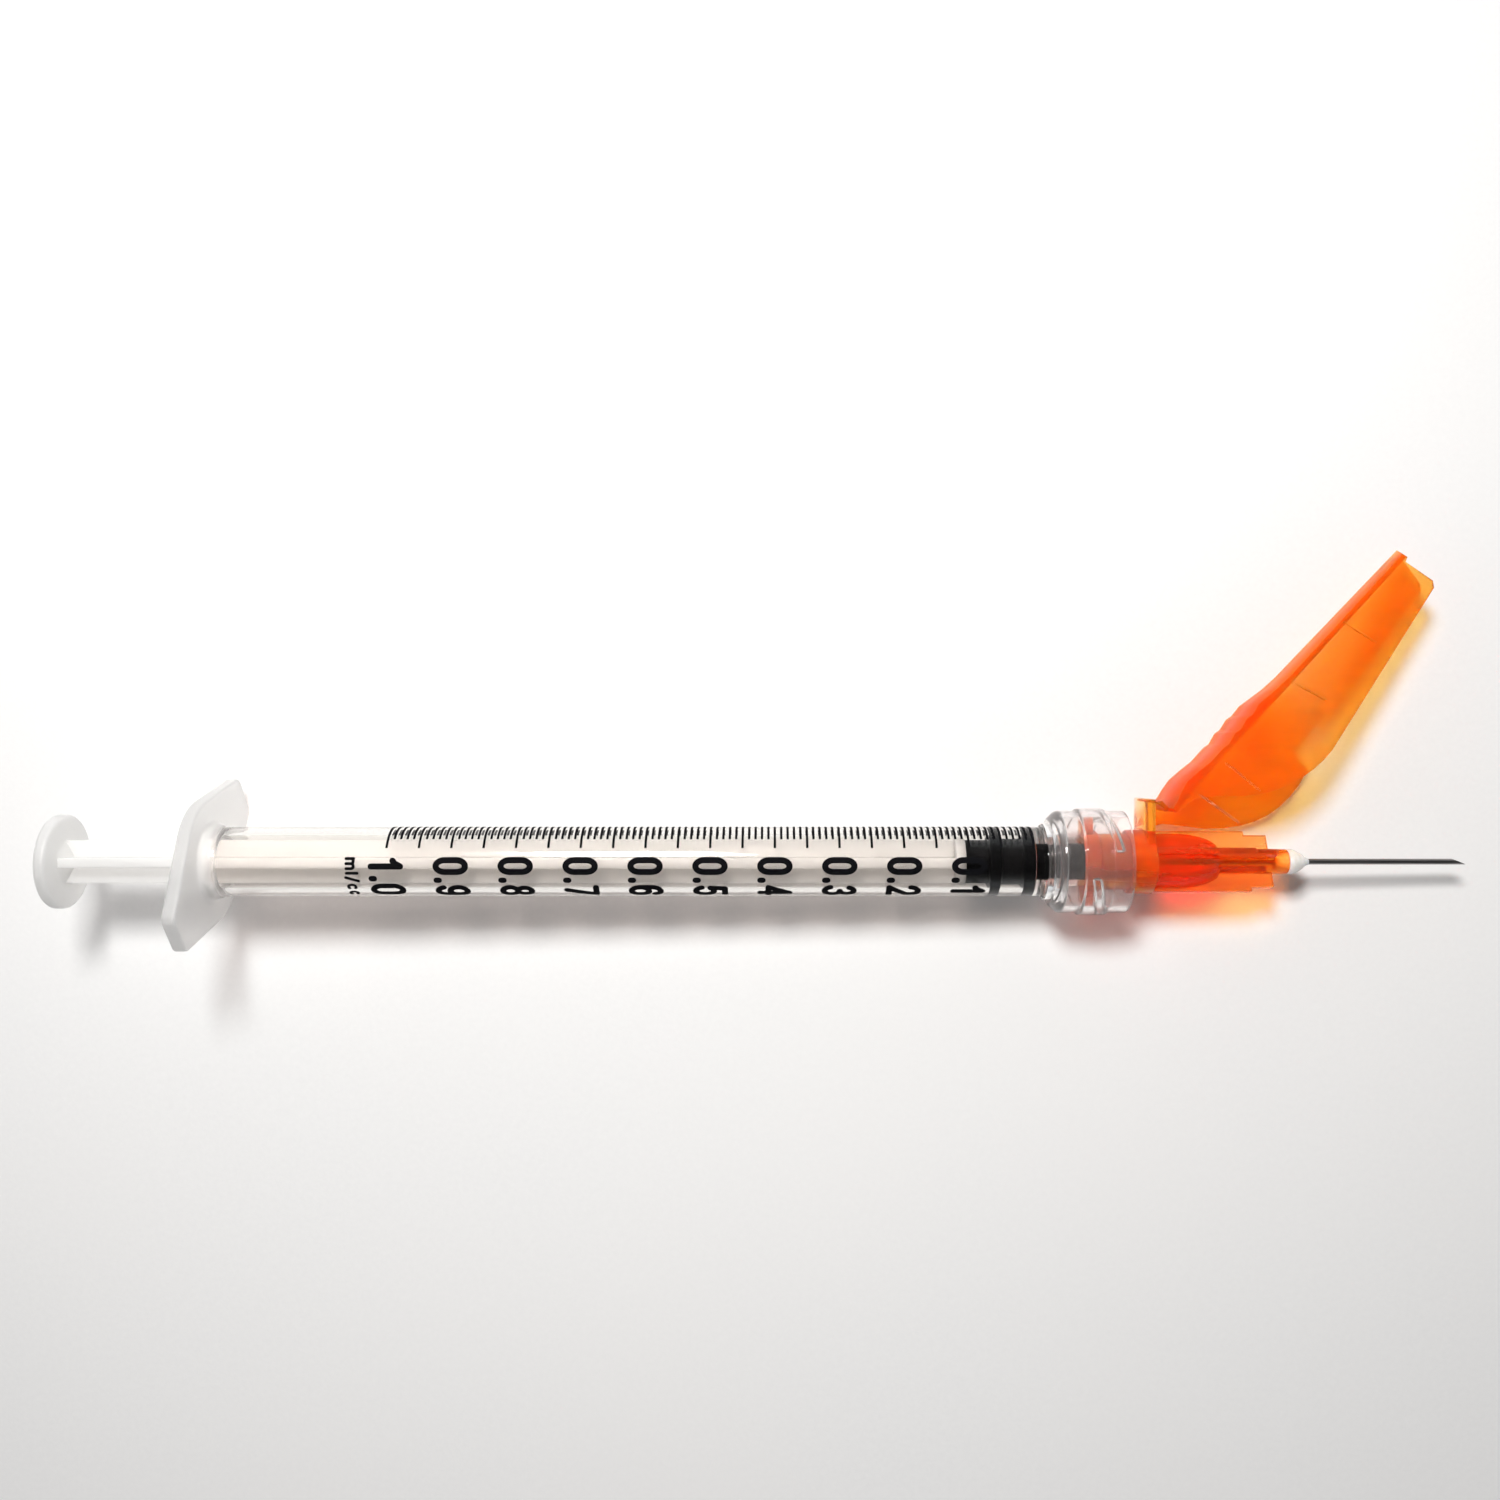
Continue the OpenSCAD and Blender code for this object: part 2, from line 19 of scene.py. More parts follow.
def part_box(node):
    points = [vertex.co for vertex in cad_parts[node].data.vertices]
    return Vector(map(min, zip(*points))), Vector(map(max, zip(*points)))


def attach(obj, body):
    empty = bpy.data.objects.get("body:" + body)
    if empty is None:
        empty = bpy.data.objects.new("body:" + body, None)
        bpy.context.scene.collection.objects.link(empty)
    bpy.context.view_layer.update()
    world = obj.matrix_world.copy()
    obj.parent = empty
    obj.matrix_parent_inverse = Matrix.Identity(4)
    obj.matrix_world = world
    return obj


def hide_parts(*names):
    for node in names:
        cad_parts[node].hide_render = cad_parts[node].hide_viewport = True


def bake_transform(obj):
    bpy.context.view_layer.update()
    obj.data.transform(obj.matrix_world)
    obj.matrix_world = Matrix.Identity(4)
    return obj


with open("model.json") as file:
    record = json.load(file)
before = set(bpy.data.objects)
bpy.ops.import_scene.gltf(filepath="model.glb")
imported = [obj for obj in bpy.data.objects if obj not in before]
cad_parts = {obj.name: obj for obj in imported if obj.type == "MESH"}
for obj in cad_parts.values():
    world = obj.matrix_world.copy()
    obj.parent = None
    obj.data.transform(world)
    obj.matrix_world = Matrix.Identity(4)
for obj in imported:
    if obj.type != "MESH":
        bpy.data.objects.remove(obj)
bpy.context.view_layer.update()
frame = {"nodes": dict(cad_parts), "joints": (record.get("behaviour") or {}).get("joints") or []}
MM = 0.001


# %% [markdown]
# ## Where things are
# The CAD frame says where each piece begins and ends. The X axis runs along the barrel towards the
# needle and 0 is the zero graduation. Sizes that a box can't tell, such as a wall or a bore, are
# named here once.

# %% Places from the frame, and the few sizes that a box can't tell
def span(node, axis):
    """Where a CAD node starts and ends along an axis (0, 1 or 2), in millimetres."""
    low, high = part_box(node)
    return low[axis] / MM, high[axis] / MM


def joint(name):
    """The row's joint of that name."""
    return next(j for j in frame["joints"] if j["name"] == name)


BARREL_REAR, NOZZLE_TIP = span("barrel", 0)
COLLAR_REAR, COLLAR_FRONT = span("luer_collar", 0)
THUMB_REAR, ROD_FRONT = span("plunger_rod", 0)
STOPPER_REAR, NOSE_TIP = span("stopper", 0)
HUB_FACE, HUB_END = span("needle_hub", 0)
RING_FRONT = span("shield_ring", 0)[1]
NEEDLE_REAR, NEEDLE_TIP = span("cannula", 0)
BEAD_TIP = span("adhesive_bead", 0)[1]
HINGE_X, HINGE_Y = [v / MM for v in joint("shield_hinge")["pos_m"][:2]]

BORE_R = 2.37
BARREL_R = 3.1
STOPPER_FRONT = 0.3
BORE_END = STOPPER_FRONT + 0.05
NOZZLE_BORE_R = 1.05
HUB_R = 2.5
CORE_R = 1.15
NEEDLE_R = span("cannula", 2)[1]
SCALE_LEN = 1000 / (math.pi * BORE_R ** 2)
print("1 mL of this bore is", round(SCALE_LEN, 2), "mm long")


# %% [markdown]
# ## Camera, floor and light
# The view is straight down on a syringe that lies on white paper, taken from close by, so near
# edges spread outwards a little. The syringe rests on one corner of its flange and on the luer
# collar, which tips the paper against the barrel's axis by less than three degrees.

# %% Camera
CAMERA_AT = Vector((-23.1, 10.0, 120.0))
LENS = 32.14
SIDE_SHIFT = -0.0133

camera = bpy.data.objects.new("camera", bpy.data.cameras.new("camera"))
bpy.context.scene.collection.objects.link(camera)
camera.data.lens = LENS
camera.data.clip_start = 0.001
camera.data.clip_end = 10
camera.location = CAMERA_AT * MM
camera.data.shift_x = SIDE_SHIFT
bpy.context.scene.camera = camera
print("camera looks down from", round(CAMERA_AT.z), "mm")

# %% Paper
FLANGE_FOOT = Vector((BARREL_REAR + 0.6, 0, span("barrel", 2)[0]))
COLLAR_FOOT = Vector((5.5, 0, span("luer_collar", 2)[0]))


def paper_height(x):
    """The paper's height under a place along the barrel."""
    slope = (COLLAR_FOOT.z - FLANGE_FOOT.z) / (COLLAR_FOOT.x - FLANGE_FOOT.x)
    return FLANGE_FOOT.z + slope * (x - FLANGE_FOOT.x) - 0.02


def grid_mesh(name, xs, ys, height):
    """A flat sheet of faces over xs and ys with height(x, y)."""
    points = [(x * MM, y * MM, height(x, y) * MM) for x in xs for y in ys]
    rows, columns = len(xs), len(ys)
    faces = [(i * columns + j, (i + 1) * columns + j, (i + 1) * columns + j + 1, i * columns + j + 1)
             for i in range(rows - 1) for j in range(columns - 1)]
    mesh = bpy.data.meshes.new(name)
    mesh.from_pydata(points, [], faces)
    return mesh


PAPER_REACH = 900
paper = bpy.data.objects.new("paper", grid_mesh(
    "paper", np.linspace(-PAPER_REACH, PAPER_REACH, 3), np.linspace(-PAPER_REACH, PAPER_REACH, 3),
    lambda x, y: paper_height(x)))
bpy.context.scene.collection.objects.link(paper)
print("paper lies", round(-paper_height(0), 2), "mm under the axis at the zero line")


# %% Lights
def lamp(name, place, size, power, colour=(1, 1, 1)):
    """A square soft light at place that faces the syringe. Place and size are in millimetres."""
    data = bpy.data.lights.new(name, "AREA")
    data.size = size * MM
    data.energy = power
    data.color = colour
    lamp_object = bpy.data.objects.new(name, data)
    lamp_object.location = Vector(place) * MM
    aim = Vector((-22, 0, 0)) - Vector(place)
    lamp_object.rotation_euler = aim.to_track_quat("-Z", "Y").to_euler()
    bpy.context.scene.collection.objects.link(lamp_object)
    return lamp_object


lamp("desk_lamp", (-58, 111, 190), 52, 0.575, (1.0, 0.988, 0.97))

# %% The room
# Whoever looks straight down at a small thing on a table darkens the light from above, so the room
# is dim overhead and bright towards its walls. That keeps black rubber black behind shiny plastic.
world = bpy.data.worlds.new("room")
bpy.context.scene.world = world
world.use_nodes = True
tree = world.node_tree
direction = tree.nodes.new("ShaderNodeTexCoord")
split = tree.nodes.new("ShaderNodeSeparateXYZ")
sky = tree.nodes.new("ShaderNodeValToRGB")
tree.links.new(direction.outputs["Generated"], split.inputs[0])
tree.links.new(split.outputs["Z"], sky.inputs["Fac"])
tree.links.new(sky.outputs["Color"], tree.nodes["Background"].inputs["Color"])
SKY = [(0.0, 0.80), (0.30, 0.66), (0.55, 0.17), (0.80, 0.02), (1.0, 0.005)]
while len(sky.color_ramp.elements) < len(SKY):
    sky.color_ramp.elements.new(0.5)
for stop, (height, bright) in zip(sky.color_ramp.elements, SKY):
    stop.position = height
    stop.color = (bright * 0.95, bright * 0.975, bright, 1)
bpy.context.scene.view_settings.view_transform = "Standard"


# %% [markdown]
# ## Writing materials as arithmetic
# A material is a graph, and a graph of maths nodes is hard to read. One small class wraps a socket,
# so that `1 - mask * 0.3` adds the nodes by itself. Every other node comes from `Finish.node`, which
# sets the node's own settings before its sockets.

# %% Socket arithmetic and the material builder
class Sock:
    """An output socket that takes part in Python arithmetic."""

    def __init__(self, finish, socket):
        self.finish = finish
        self.socket = socket

    def math(self, operation, a, b):
        return self.finish.node("ShaderNodeMath", {"operation": operation}, {0: a, 1: b})

    def __add__(self, other):
        return self.math("ADD", self, other)

    def __sub__(self, other):
        return self.math("SUBTRACT", self, other)

    def __rsub__(self, other):
        return self.math("SUBTRACT", other, self)

    def __mul__(self, other):
        return self.math("MULTIPLY", self, other)

    __radd__ = __add__
    __rmul__ = __mul__


class Finish:
    """A new material whose nodes are added from Python."""

    def __init__(self, name):
        self.material = bpy.data.materials.new(name)
        self.material.use_nodes = True
        self.tree = self.material.node_tree
        self.tree.nodes.clear()
        self.output = self.tree.nodes.new("ShaderNodeOutputMaterial")

    def node(self, kind, settings=None, sockets=None, out=0):
        node = self.tree.nodes.new(kind)
        for key, value in (settings or {}).items():
            if key == "stops":
                for stop, (place, colour) in zip(self.ramp_stops(node, len(value)), value):
                    stop.position = place
                    stop.color = colour
            else:
                setattr(node, key, value)
        for key, value in (sockets or {}).items():
            if isinstance(value, Sock):
                self.tree.links.new(value.socket, node.inputs[key])
            else:
                node.inputs[key].default_value = value
        return Sock(self, node.outputs[out])

    def ramp_stops(self, node, count):
        while len(node.color_ramp.elements) < count:
            node.color_ramp.elements.new(0.5)
        return node.color_ramp.elements

    def place(self, stretch=(1, 1, 1)):
        """The piece's own coordinates, in millimetres, stretched along each axis."""
        here = self.node("ShaderNodeTexCoord", out="Object")
        return self.node("ShaderNodeMapping", {}, {"Vector": here, "Scale": [s / MM for s in stretch]})

    def noise(self, scale, detail=3.0, stretch=(1, 1, 1), rough=0.5):
        """Grey clouds with about scale lumps to the millimetre."""
        return self.node("ShaderNodeTexNoise", {}, {"Vector": self.place(stretch), "Scale": scale,
                                                     "Detail": detail, "Roughness": rough})

    def ramp(self, value, *stops):
        """A colour or grey looked up from value."""
        colours = [(at, (c, c, c, 1) if isinstance(c, (int, float)) else (*c, 1)) for at, c in stops]
        return self.node("ShaderNodeValToRGB", {"stops": colours}, {"Fac": value})

    def bump(self, height, distance, strength=1.0):
        """A normal from a height, with its full depth in millimetres."""
        return self.node("ShaderNodeBump", {}, {"Height": height, "Distance": distance * MM,
                                                 "Strength": strength})

    def mix_colour(self, factor, a, b):
        return self.node("ShaderNodeMix", {"data_type": "RGBA"}, {0: factor, 6: a, 7: b}, out=2)

    def mix_shader(self, factor, a, b):
        return self.node("ShaderNodeMixShader", {}, {0: factor, 1: a, 2: b})

    def done(self, shader):
        self.tree.links.new(shader.socket, self.output.inputs["Surface"])
        print("finish:", self.material.name, "with", len(self.tree.nodes), "nodes")
        return self.material


def rgb(red, green, blue):
    return (red, green, blue, 1.0)


# %% [markdown]
# ## See-through plastics
# Polypropylene bends light (IOR 1.49) and is slightly hazy, so a clear piece is mostly glass with a
# little white scatter, and more of it where the moulding is thick. Moulding leaves faint flow lines
# along the part and an orange-peel skin, both far shallower than a hair. A glass shader alone would
# cast a black shadow, because lamps can't find their way through it, so rays on their way to a lamp
# meet a thin tint instead.

# %% The see-through finish
def see_through(name, haze, haze_colour, veil, roughness, peel, lumps, dye=None, thick_below=None,
                shine=0.5, tint=(1, 1, 1), ior=1.49):
    """A bending, hazy plastic. haze is its share of scatter and veil what lamps keep behind a wall.
    dye is what each millimetre takes from red, green and blue. Below thick_below along X, in
    millimetres, the piece is milky."""
    f = Finish(name)
    flow = f.noise(0.35, 4.0, (0.12, 1, 1))
    peel_skin = f.noise(lumps, 2.0)
    normal = f.bump(flow * 0.6 + peel_skin * 0.4, peel)
    glass = f.node("ShaderNodeBsdfPrincipled", {}, {
        "Base Color": rgb(*tint), "Transmission Weight": 1.0, "IOR": ior, "Specular IOR Level": shine,
        "Roughness": roughness + flow * 0.03, "Normal": normal})
    milk = f.node("ShaderNodeBsdfPrincipled", {}, {
        "Base Color": haze_colour, "Roughness": 0.35, "Specular IOR Level": shine, "Subsurface Weight": 1.0,
        "Subsurface Radius": (1.0, 1.0, 1.0), "Subsurface Scale": 2.0 * MM, "Normal": normal})
    share = haze * (0.75 + flow * 0.5)
    if thick_below is not None:
        along = f.node("ShaderNodeSeparateXYZ", {}, {0: f.place()})
        depth = f.node("ShaderNodeMapRange", {"interpolation_type": "SMOOTHSTEP"}, {
            0: along, 1: thick_below, 2: thick_below + 1.6, 3: MILKY_ROOT, 4: 0.0})
        share = share + depth
    body = f.mix_shader(share, glass, milk)
    lamp_ray = f.node("ShaderNodeLightPath", out="Is Shadow Ray")
    clear = f.node("ShaderNodeBsdfTransparent", {}, {"Color": veil})
    if dye:
        most = max(dye)
        colour = rgb(*(1 - share_taken / most for share_taken in dye))
        inside = f.node("ShaderNodeVolumeAbsorption", {}, {"Color": colour, "Density": most / MM})
        f.tree.links.new(inside.socket, f.output.inputs["Volume"])
    return f.done(f.mix_shader(lamp_ray, body, clear))


# %% Clear barrel, clear collar
MILKY_ROOT = 0.5
CLEAR_BARREL = see_through("clear_barrel", 0.001, rgb(0.97, 0.96, 0.95), rgb(0.62, 0.58, 0.565),
                           0.03, 0.0015, 1.2, thick_below=BARREL_REAR + 1.1, tint=(0.91, 0.895, 0.87))
CLEAR_COLLAR = see_through("clear_collar", 0.045, rgb(0.97, 0.95, 0.95), rgb(0.58, 0.46, 0.44),
                           0.06, 0.005, 0.9, tint=(0.97, 0.95, 0.94))

# %% [markdown]
# ## Orange, dyed through
# The real shield and hub are the same dyed plastic. A thin wall passes a light amber, two walls
# together a deep orange and the thick nose a red, so the colour is set by what each millimetre of
# plastic takes from the light that crosses it. One dye for all of them would be the true way. Here
# the shield, its post and the hub each have their own dye and bend light less than the real
# plastic's 1.49. Those values were picked one by one.

# %% Orange shield and hub
ORANGE_SHIELD = see_through("orange_shield", 0.27, rgb(0.94, 0.18, 0.014), rgb(0.62, 0.52, 0.50),
                            0.20, 0.006, 1.5, dye=(0.03, 0.76, 4.6), shine=0.02, ior=1.12)
ORANGE_POST = see_through("orange_post", 0.06, rgb(0.95, 0.36, 0.08), rgb(0.88, 0.72, 0.60),
                          0.08, 0.006, 1.5, dye=(0.03, 0.24, 0.8), shine=0.02, ior=1.12)
ORANGE_HUB = see_through("orange_hub", 0.24, rgb(0.88, 0.145, 0.025), rgb(0.78, 0.60, 0.52),
                         0.12, 0.006, 1.5, dye=(0.05, 0.70, 2.7), shine=0.1, ior=1.25)


# %% [markdown]
# ## Milky plunger, rubber, glue, steel and ink
# The plunger is undyed polypropylene in thick ribs. It is half frosted glass, which lets the paper
# glow through it, and half scatter inside, which hides its far ribs. The stopper is black rubber wet
# with silicone oil. The needle is drawn tube, with fine lines along its length.

# %% The closed, solid finishes
def milky_plastic():
    return see_through("milky_plastic", 0.62, rgb(0.90, 0.89, 0.875), rgb(0.5, 0.49, 0.485), 0.42, 0.006, 1.8,
                       tint=(0.97, 0.965, 0.955))


def black_rubber():
    f = Finish("black_rubber")
    grain = f.noise(6.0, 4.0)
    smear = f.noise(0.5, 2.0, (0.3, 1, 1))
    colour = f.ramp(grain, (0.3, (0.002, 0.002, 0.002)), (0.75, (0.007, 0.007, 0.008)))
    return f.done(f.node("ShaderNodeBsdfPrincipled", {}, {
        "Base Color": colour, "Roughness": 0.22 + smear * 0.25, "Specular IOR Level": 0.01,
        "Coat Weight": smear * 0.015, "Coat Roughness": 0.08, "Normal": f.bump(grain, 0.004)}))


def white_adhesive():
    f = Finish("white_adhesive")
    lumps = f.noise(1.4, 2.0)
    colour = f.ramp(lumps, (0.35, (0.84, 0.80, 0.74)), (0.6, (0.93, 0.91, 0.88)))
    return f.done(f.node("ShaderNodeBsdfPrincipled", {}, {
        "Base Color": colour, "Roughness": 0.12 + lumps * 0.1, "Subsurface Weight": 0.5,
        "Subsurface Radius": (1.0, 0.8, 0.6), "Subsurface Scale": 0.5 * MM,
        "Normal": f.bump(lumps, 0.05)}))


def drawn_steel():
    f = Finish("drawn_steel")
    lines = f.noise(14.0, 4.0, (0.02, 1, 1), 0.65)
    stain = f.noise(0.8, 3.0)
    colour = f.ramp(lines, (0.3, (0.19, 0.18, 0.18)), (0.7, (0.38, 0.36, 0.35)))
    return f.done(f.node("ShaderNodeBsdfPrincipled", {}, {
        "Base Color": colour, "Metallic": 0.94 + stain * 0.06, "Roughness": 0.2 + lines * 0.2,
        "Normal": f.bump(lines, 0.003)}))


def ink():
    f = Finish("ink")
    speck = f.noise(9.0, 5.0)
    colour = f.ramp(speck, (0.35, (0.002, 0.002, 0.003)), (0.8, (0.014, 0.014, 0.016)))
    return f.done(f.node("ShaderNodeBsdfPrincipled", {}, {
        "Base Color": colour, "Roughness": 0.35 + speck * 0.3, "Specular IOR Level": 0.01,
        "Normal": f.bump(speck, 0.004)}))


def paper_finish():
    f = Finish("paper")
    fibre = f.noise(2.2, 6.0, (1, 1, 1), 0.65)
    cloud = f.noise(0.02, 2.0)
    colour = f.ramp(fibre, (0.25, (0.87, 0.87, 0.875)), (0.75, (0.93, 0.93, 0.93)))
    warm = f.mix_colour(cloud, colour, rgb(0.93, 0.915, 0.905))
    return f.done(f.node("ShaderNodeBsdfPrincipled", {}, {
        "Base Color": warm, "Roughness": 0.75 + fibre * 0.1, "Specular IOR Level": 0.25,
        "Normal": f.bump(fibre, 0.01)}))


MILKY, RUBBER, ADHESIVE = milky_plastic(), black_rubber(), white_adhesive()
STEEL, INK = drawn_steel(), ink()
paper.data.materials.append(paper_finish())


# %% [markdown]
# ## Turned pieces
# Most of the syringe is turned about its axis, so one function turns a profile into a closed skin.
# A profile is a list of corners (x, radius, softness). Each corner becomes a small curve, because a
# moulded edge is never sharp and it is the soft edge that catches the light. A radius may also be a
# list with one value for each direction, so that a flange or a thread is made in the same skin as
# the tube that carries it. A separate flange pushed through the tube would show as a ghost inside
# the plastic.

# %% Rounded profiles and turned skins
SEGMENTS = 256
AZIMUTH = np.linspace(0, 2 * math.pi, SEGMENTS, endpoint=False)
CORNER_STEPS = 4
SUPPORT = 1.5


def rounded(corners, closed=True):
    """The corners of a profile, each softened by its third value, as arrays of (x, radius)."""
    places = [np.stack(np.broadcast_arrays(np.asarray(x, float), np.asarray(r, float) + 0 * AZIMUTH))
              for x, r, _ in corners]
    count = len(places)
    result = []
    for k, (place, corner) in enumerate(zip(places, corners)):
        soft = corner[2]
        ends = not closed and k in (0, count - 1)
        if soft == 0 or ends:
            result.append(place)
            continue
        back, on = places[k - 1] - place, places[(k + 1) % count] - place
        back_len = np.maximum(np.linalg.norm(back, axis=0), 1e-6)
        on_len = np.maximum(np.linalg.norm(on, axis=0), 1e-6)
        d = np.minimum(soft, 0.45 / SUPPORT * np.minimum(back_len, on_len))
        start, end = place + back / back_len * d, place + on / on_len * d
        result.append(place + back / back_len * d * SUPPORT)
        for t in np.linspace(0, 1, CORNER_STEPS + 1):
            result.append(start * (1 - t) ** 2 + place * 2 * t * (1 - t) + end * t ** 2)
        result.append(place + on / on_len * d * SUPPORT)
    return result


def skin(name, rings, closed=True):
    """A mesh object from rings of (x, radius) arrays, with its poles and seams merged."""
    points = []
    for x, r in rings:
        points += list(zip(x * MM, r * np.sin(AZIMUTH) * MM, r * np.cos(AZIMUTH) * MM))
    rows = len(rings)
    faces = []
    for k in range(rows if closed else rows - 1):
        a, b = k * SEGMENTS, (k + 1) % rows * SEGMENTS
        faces += [(a + i, a + (i + 1) % SEGMENTS, b + (i + 1) % SEGMENTS, b + i) for i in range(SEGMENTS)]
    mesh = bpy.data.meshes.new(name)
    mesh.from_pydata(points, [], faces)
    return finished(name, mesh)


def finished(name, mesh, smooth=True):
    """A linked object whose mesh is merged, faces outwards and is smooth."""
    work = bmesh.new()
    work.from_mesh(mesh)
    bmesh.ops.remove_doubles(work, verts=work.verts, dist=1e-7)
    bmesh.ops.dissolve_degenerate(work, dist=1e-8, edges=work.edges)
    bmesh.ops.recalc_face_normals(work, faces=work.faces)
    for face in work.faces:
        face.smooth = smooth
    work.to_mesh(mesh)
    work.free()
    thing = bpy.data.objects.new(name, mesh)
    bpy.context.scene.collection.objects.link(thing)
    return thing


def turned(name, corners, closed=True):
    return skin(name, rounded(corners, closed), closed)


def fit_out(thing, material, body, slot, *nodes):
    """Gives a piece its material and its body, and hides the CAD nodes that it stands for. slot is not used.
    """
    thing.data.materials.clear()
    thing.data.materials.append(material)
    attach(thing, body)
    if nodes:
        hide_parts(*nodes)
    print(thing.name, "rides", body, "with", len(thing.data.polygons), "faces")


# %% [markdown]
# ## The barrel
# One moulding: flange, tube, neck and nozzle, with the bore running through it. Its flange is a disc
# that runs out into two blunt ends. Seen from the axis, the distance to that outline is one number
# for each direction, so the flange's rim is just another ring of the same skin.

# %% Flange outline
FLANGE_R, FLANGE_REACH, FLANGE_END, FLANGE_CORNER = 5.7, 9.1, 2.25, 0.8
FLANGE_T = 1.2
FLANGE_ROLL = math.radians(-40)


def flange_radius(azimuth):
    """Distance from the axis to the flange's rim: a disc and four corner rounds in one tight band."""
    corner = Vector((FLANGE_REACH - FLANGE_CORNER, FLANGE_END - FLANGE_CORNER))
    turn = math.atan2(corner.y, corner.x) + math.acos((FLANGE_R - FLANGE_CORNER) / corner.length)
    outline = []
    for a in np.linspace(math.pi / 2, turn, 12):
        outline.append((FLANGE_R * math.cos(a), FLANGE_R * math.sin(a)))
    for a in np.linspace(turn, 0, 12):
        outline.append((corner.x + FLANGE_CORNER * math.cos(a), corner.y + FLANGE_CORNER * math.sin(a)))
    outline.append((FLANGE_REACH, 0))
    steps = 40
    dense = [np.linspace(a, b, steps, endpoint=False) for a, b in zip(outline, outline[1:])]
    dense = np.concatenate(dense + [[outline[-1]]])
    angle, reach = np.arctan2(dense[:, 1], dense[:, 0]), np.hypot(dense[:, 0], dense[:, 1])
    folded = np.abs((azimuth + math.pi / 2) % math.pi - math.pi / 2)
    return np.interp(folded, angle[::-1], reach[::-1])


rim = flange_radius(AZIMUTH - FLANGE_ROLL)
print("flange reaches", round(rim.max(), 2), "mm and is", round(2 * rim.min(), 2), "mm across")


# %% Barrel skin
def nozzle_r(x):
    """The nozzle's radius, from its tip back along the six percent taper."""
    return 1.985 + (NOZZLE_TIP - x) * 0.03


NECK = COLLAR_REAR - 0.1
FLOOR = COLLAR_REAR + 0.9
FRONT = BARREL_REAR + FLANGE_T
BEAD = FRONT + 0.4
barrel = turned("barrel_clear", [
    (BARREL_REAR, BORE_R + 0.35, 0.1),
    (BARREL_REAR, rim, 0.28), (FRONT, rim, 0.28),
    (FRONT, BARREL_R + 0.4, 0.5), (FRONT + 1.1, BARREL_R, 0.8),
    (NECK - 0.35, BARREL_R, 0.05), (NECK - 0.1, BARREL_R + 0.3, 0.08), (NECK + 0.15, BARREL_R + 0.3, 0.05),
    (NECK + 0.16, BARREL_R, 0.05),
    (FLOOR, BARREL_R, 0.12), (FLOOR, nozzle_r(FLOOR), 0.12),
    (NOZZLE_TIP, nozzle_r(NOZZLE_TIP), 0.18), (NOZZLE_TIP, NOZZLE_BORE_R, 0.12),
    (BORE_END, NOZZLE_BORE_R, 0.1), (BORE_END, BORE_R, 0.18),
    (BEAD + 0.8, BORE_R, 0.2), (BEAD + 0.5, BORE_R - 0.12, 0.1), (BEAD + 0.3, BORE_R - 0.12, 0.1),
    (BEAD, BORE_R, 0.2), (BARREL_REAR + 0.6, BORE_R, 0.1),
])
fit_out(barrel, CLEAR_BARREL, "syringe", "clear_barrel", "barrel")

# %% [markdown]
# ## The luer collar
# A threaded sleeve with two ridges that spiral round its inside and stop short, so that the hub's
# lugs can enter between them. The inside is one fine grid whose radius dips where a ridge runs, so
# the ridges grow out of the wall with soft flanks, as a moulded thread does. Sweeping a trapezium
# along a helix and joining it on would be the other way, and it leaves seams inside clear plastic.

# %% Collar skin
COLLAR_R, BAND_R, THREAD_ROOT, THREAD_CREST = 4.55, 4.75, 4.05, 3.5
THREAD_LEAD = 5.0
RIDGE_W, RIDGE_TURN = 0.75, math.radians(150)
COLLAR_LEN = COLLAR_FRONT - COLLAR_REAR
COLLAR_FLOOR = COLLAR_REAR + 1.0


def ridge_depth(x, azimuth):
    """How far the thread's ridges stand in from the wall, from 0 to 1."""
    depth = np.zeros_like(azimuth)
    for start in (0, math.pi):
        turn = (math.pi / 2 - azimuth - start + math.pi) % (2 * math.pi) - math.pi
        middle = HUB_FACE + 0.8 + 0.15 + THREAD_LEAD * (turn + 0.34) / (2 * math.pi) + RIDGE_W / 2
        across = np.clip((RIDGE_W / 2 + 0.06 - np.abs(x - middle)) / 0.2, 0, 1)
        along = np.clip((RIDGE_TURN / 2 - np.abs(turn)) / 0.09, 0, 1)
        depth = np.maximum(depth, across * along)
    return depth * depth * (3 - 2 * depth)


outside = rounded([
    (COLLAR_REAR, BARREL_R + 0.02, 0.08), (COLLAR_REAR, COLLAR_R - 0.7, 0.25),
    (COLLAR_REAR + 0.7, COLLAR_R, 0.3),
    (COLLAR_REAR + 0.36 * COLLAR_LEN, COLLAR_R, 0.08), (COLLAR_REAR + 0.38 * COLLAR_LEN, BAND_R, 0.1),
    (COLLAR_REAR + 0.72 * COLLAR_LEN, BAND_R, 0.1), (COLLAR_REAR + 0.74 * COLLAR_LEN, COLLAR_R, 0.08),
    (COLLAR_FRONT, COLLAR_R, 0.22), (COLLAR_FRONT, THREAD_ROOT, 0.12)], closed=False)
inside = [np.stack((x + 0 * AZIMUTH, THREAD_ROOT - (THREAD_ROOT - THREAD_CREST) * ridge_depth(x, AZIMUTH)))
          for x in np.arange(COLLAR_FRONT - 0.15, COLLAR_FLOOR + 0.12, -0.07)]
